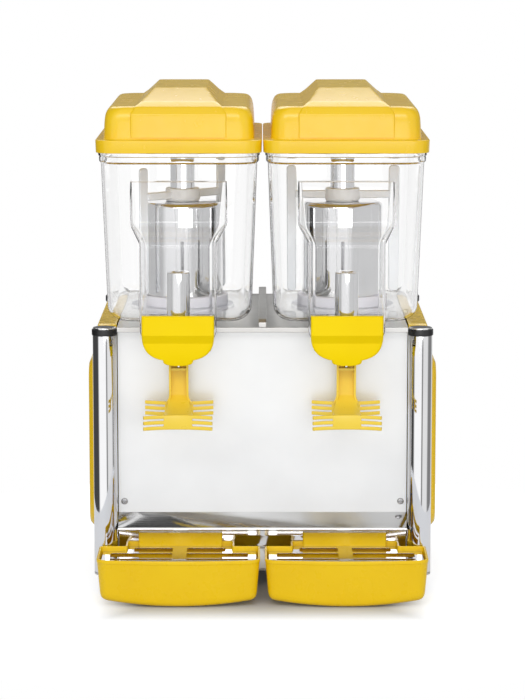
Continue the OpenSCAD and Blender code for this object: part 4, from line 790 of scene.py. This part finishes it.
for side, x in sides.items():
    w, d, low, rim = tray["wall"], tray["draft"], tray["low"], tray["rim"]
    rows = [[40, low, 1], [d + 6, low, 1], [d + 1.6, low + 2.6, 1], [d, low + 8, 0.9], [0.6, rim - 5, 0.0],
            [0, rim - 4.2, 0], [0, rim, 0], [w, rim, 0], [w, rim - 4, 0], [d + w, low + 11.5, 0.9],
            [d + w + 6, low + 4, 1], [40, low + w, 1]]
    cuts = [0, 2, 2.5, 3, 0.6, 0.6, 1.0, 1.0, 0.5, 3, 3, 0]
    h, b, top = tray["upstandHalf"], tray["back"], tray["upstandTop"]
    up = [[h, b - 6, b, rim - 8, 2.0], [h, b - 6, b, top, 2], [h - 1.2, b - 4.8, b - 1.2, top, 1.2]]
    shells = [stacked(trayLoops(softRows(rows, cuts, 3))), stacked(rectLoops(softRows(up, [0, 1.2, 0], 4)))]
    mesh = meshOf("dripTray." + side, [moved(s, x) for s in shells])
    piece("dripTray." + side, mesh, trayAbs, "drip_tray_" + side, ["drip_tray_" + side], 34)
    eased("drip_plate_" + side, polishedPlate, "drip_plate_" + side, 0.4)
print("drip trays made")


# cabinet

cabinet = dict(columnX=197.5, columnY=(-115.5, 204.5), footX=163.5, footY=(-75.5, 170.5),
               tube=(15.0, 24.0, 326.0), collar=(16.0, 326.0, 334.0), cap=(14.5, 334.0, 336.0))


# a plain round bar (radius, foot, top) with its two edges rounded
def rod(name, cuts, steps=4):
    r, low, high = cabinet[name]
    return softRows([[0.01, low], [r, low], [r, high], [0.01, high]], [0, *cuts, 0], steps)


spots = [(sx * cabinet["columnX"], y) for sx in (-1, 1) for y in cabinet["columnY"]]
tube, collar, cap = rod("tube", (0.8, 0.3)), rod("collar", (1.2, 1.6), 5), rod("cap", (0.2, 1.6), 5)
for name, rows, finish, node, slot in (("columns", tube, polishedTube, "corner_columns", "chrome"),
                                       ("columnCollars", collar, blackAbs, "column_collars", "black_plastic"),
                                       ("columnCaps", cap, brightSheet, "column_caps", "chrome")):
    mesh = meshOf(name, [turned(rows, (px, py, 0), steps=96) for px, py in spots])
    piece(name, mesh, finish, "cabinet", [node])

# rubber feet: a slow taper with two grooves and a rounded tread
foot = softRows([[0.01, 0], [13, 0], [13.7, 7], [12.9, 8], [12.9, 9], [13.9, 10], [14.4, 15], [15, 21],
                 [0.01, 21]], [0, 2, 0.5, 0.4, 0.4, 0.5, 0.5, 0.4, 0])
places = [(s * cabinet["footX"], y, 0) for s in (-1, 1) for y in cabinet["footY"]]
mesh = meshOf("feetTurned", [turned(foot, place, steps=64) for place in places])
piece("feetTurned", mesh, blackRubber, "cabinet", ["feet"])

screw = dict(head=4.25, rise=2.2, cross=0.75, reach=2.5, deep=1.1, x=174.5, front=(-105.5, 112.0),
             back=(204.0, 36.0, 322.5), face=3.2, rim=[3.5, 3.8, 4.05, 4.2, 4.25, 4.25])


# a pan head seen along its axis: domed over its radius, with a cross sunk in where either width is small
def screwShell(place, way):
    r = np.concatenate([np.linspace(0.05, screw["face"], 22), screw["rim"]])[:, None]
    a = np.linspace(0, 2 * np.pi, 96, endpoint=False)
    px, pz = r * np.cos(a), r * np.sin(a)
    dome = screw["rise"] * np.sqrt(np.clip(1 - (r / screw["head"]) ** 4, 0, 1)) + 0 * a
    thin = np.minimum(np.abs(px), np.abs(pz))
    sunk = np.clip((screw["cross"] - thin) / 0.25, 0, 1) * np.clip((screw["reach"] - r) / 0.4, 0, 1)
    out = dome - screw["deep"] * sunk
    out[-1] = -0.01
    rings = np.stack([px, -way * out, pz], -1) + np.asarray(place, float)
    return stacked(rings[::-1])


y, z = screw["front"]
heads = [screwShell((s * screw["x"], y, z), 1) for s in (-1, 1)]
piece("panelScrewHeads", meshOf("panelScrewHeads", heads), screwSteel, "cabinet", ["panel_screws"],
      50)
y, *levels = screw["back"]
heads = [screwShell((s * screw["x"], y, z), -1) for s in (-1, 1) for z in levels]
piece("backScrewHeads", meshOf("backScrewHeads", heads), screwSteel, "cabinet", ["back_screws"],
      50)

cover = dict(midY=44.5, wall=3.0, slots=7, slotLong=120.0, slotHigh=5.0, firstSlot=130.0, pitch=15.0,
             through=(170.0, 230.0),
             rows=[[143, 60, 336, 183.8, 16], [143, 60, 336, 208, 16], [133, 70, 292, 208, 26],
                   [130, 73, 289, 216, 23], [125, 78, 284, 220, 18], [60, 140, 222, 220, 16]],
             cuts=[0, 3.0, 2.0, 3.5, 2.5, 0])


# a side cover drawn in by g: rows (half length, lowest, highest, reach, corner) of a slab with a flat
# edge and a raised pad on it, its corners rounded
def coverShell(g):
    rows = np.array(cover["rows"], float) + np.array([-g, g, -g, -g, -g])
    rows[0, 3] -= 2 * g
    p = rectLoops(softRows(rows, cover["cuts"], 5), arc=8, side=8)
    return stacked(np.stack([p[..., 2], p[..., 0] + cover["midY"], p[..., 1]], -1))


# a slot: a long rounded rectangle carried through the cover
def slotShell(z):
    long, h = cover["slotLong"] / 2, cover["slotHigh"] / 2
    p = rectLoops([[long, z - h, z + h, reach, h - 0.05] for reach in cover["through"]], arc=6)
    return stacked(np.stack([p[..., 2], p[..., 0] + cover["midY"], p[..., 1]], -1))


shellObj = objectOf("coverRaw", meshOf("coverRaw", [coverShell(0.0)]))
carve(shellObj, objectOf("coverCut", meshOf("coverCut", [coverShell(cover["wall"])])))
slots = [slotShell(cover["firstSlot"] + k * cover["pitch"]) for k in range(cover["slots"])]
carve(shellObj, objectOf("coverSlots", meshOf("coverSlots", slots)))
rawCover = shellObj.data.copy()
bpy.data.objects.remove(shellObj)
for side, sign in (("left", -1), ("right", 1)):
    mesh = copied(rawCover, stretch=(sign, 1, 1))
    obj = piece("sideCover." + side, mesh, coverAbs, "cabinet", ["side_cover_" + side], 34)
    obj.modifiers.new("shade", "WEIGHTED_NORMAL").keep_sharp = True
print("columns, feet, screws and side covers made")

# sheet metal and small fittings keep their solids' shapes, with broken edges
for node, finish, slot, width in (("front_panel", satinPanel, "steel_panel", 0.7),
                                  ("plinth_panel", brightSheet, "steel_bright", 0.6),
                                  ("back_panel", satinSheet, "steel_satin", 0.3),
                                  ("top_deck", satinSheet, "steel_bright", 0.6),
                                  ("deck_divider", satinSheet, "steel_satin", 0.8),
                                  ("base_pan", satinSheet, "steel_satin", 0.5),
                                  ("control_box", greyAbs, "grey_plastic", 0.8),
                                  ("switch_frames", blackAbs, "black_plastic", 0.5),
                                  ("cable_gland", blackAbs, "black_plastic", 0.8)):
    eased(node, finish, "cabinet", width)
for node, finish, slot in (("rocker_cooling", greenAbs, "green_plastic"),
                           ("rocker_mixer_left", blackAbs, "black_plastic"),
                           ("rocker_mixer_right", blackAbs, "black_plastic"),
                           ("thermostat_knob", blackAbs, "black_plastic")):
    eased(node, finish, node, 0.6)

# solids that stay as they are
kept = {"compressor": blackEnamel, "compressor_mounts": blackRubber, "condenser": finAluminium,
        "fan_shroud": motorEnamel, "fan_motor": motorEnamel, "fan_blades": finAluminium,
        "cooling_jackets": foamSleeve, "stirrer_motors": motorEnamel, "drive_rotor_left": greyAbs,
        "drive_rotor_right": greyAbs, "refrigerant_pipes": drawnCopper, "lever_pin_left": screwSteel,
        "lever_pin_right": screwSteel, "plunger_seal_left": blackRubber, "plunger_seal_right": blackRubber}
for node, finish in kept.items():
    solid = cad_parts[node]
    if not solid.material_slots:
        solid.data.materials.append(finish)
    for place in solid.material_slots:
        place.material = finish
print("sheet metal, fittings and machinery dressed")
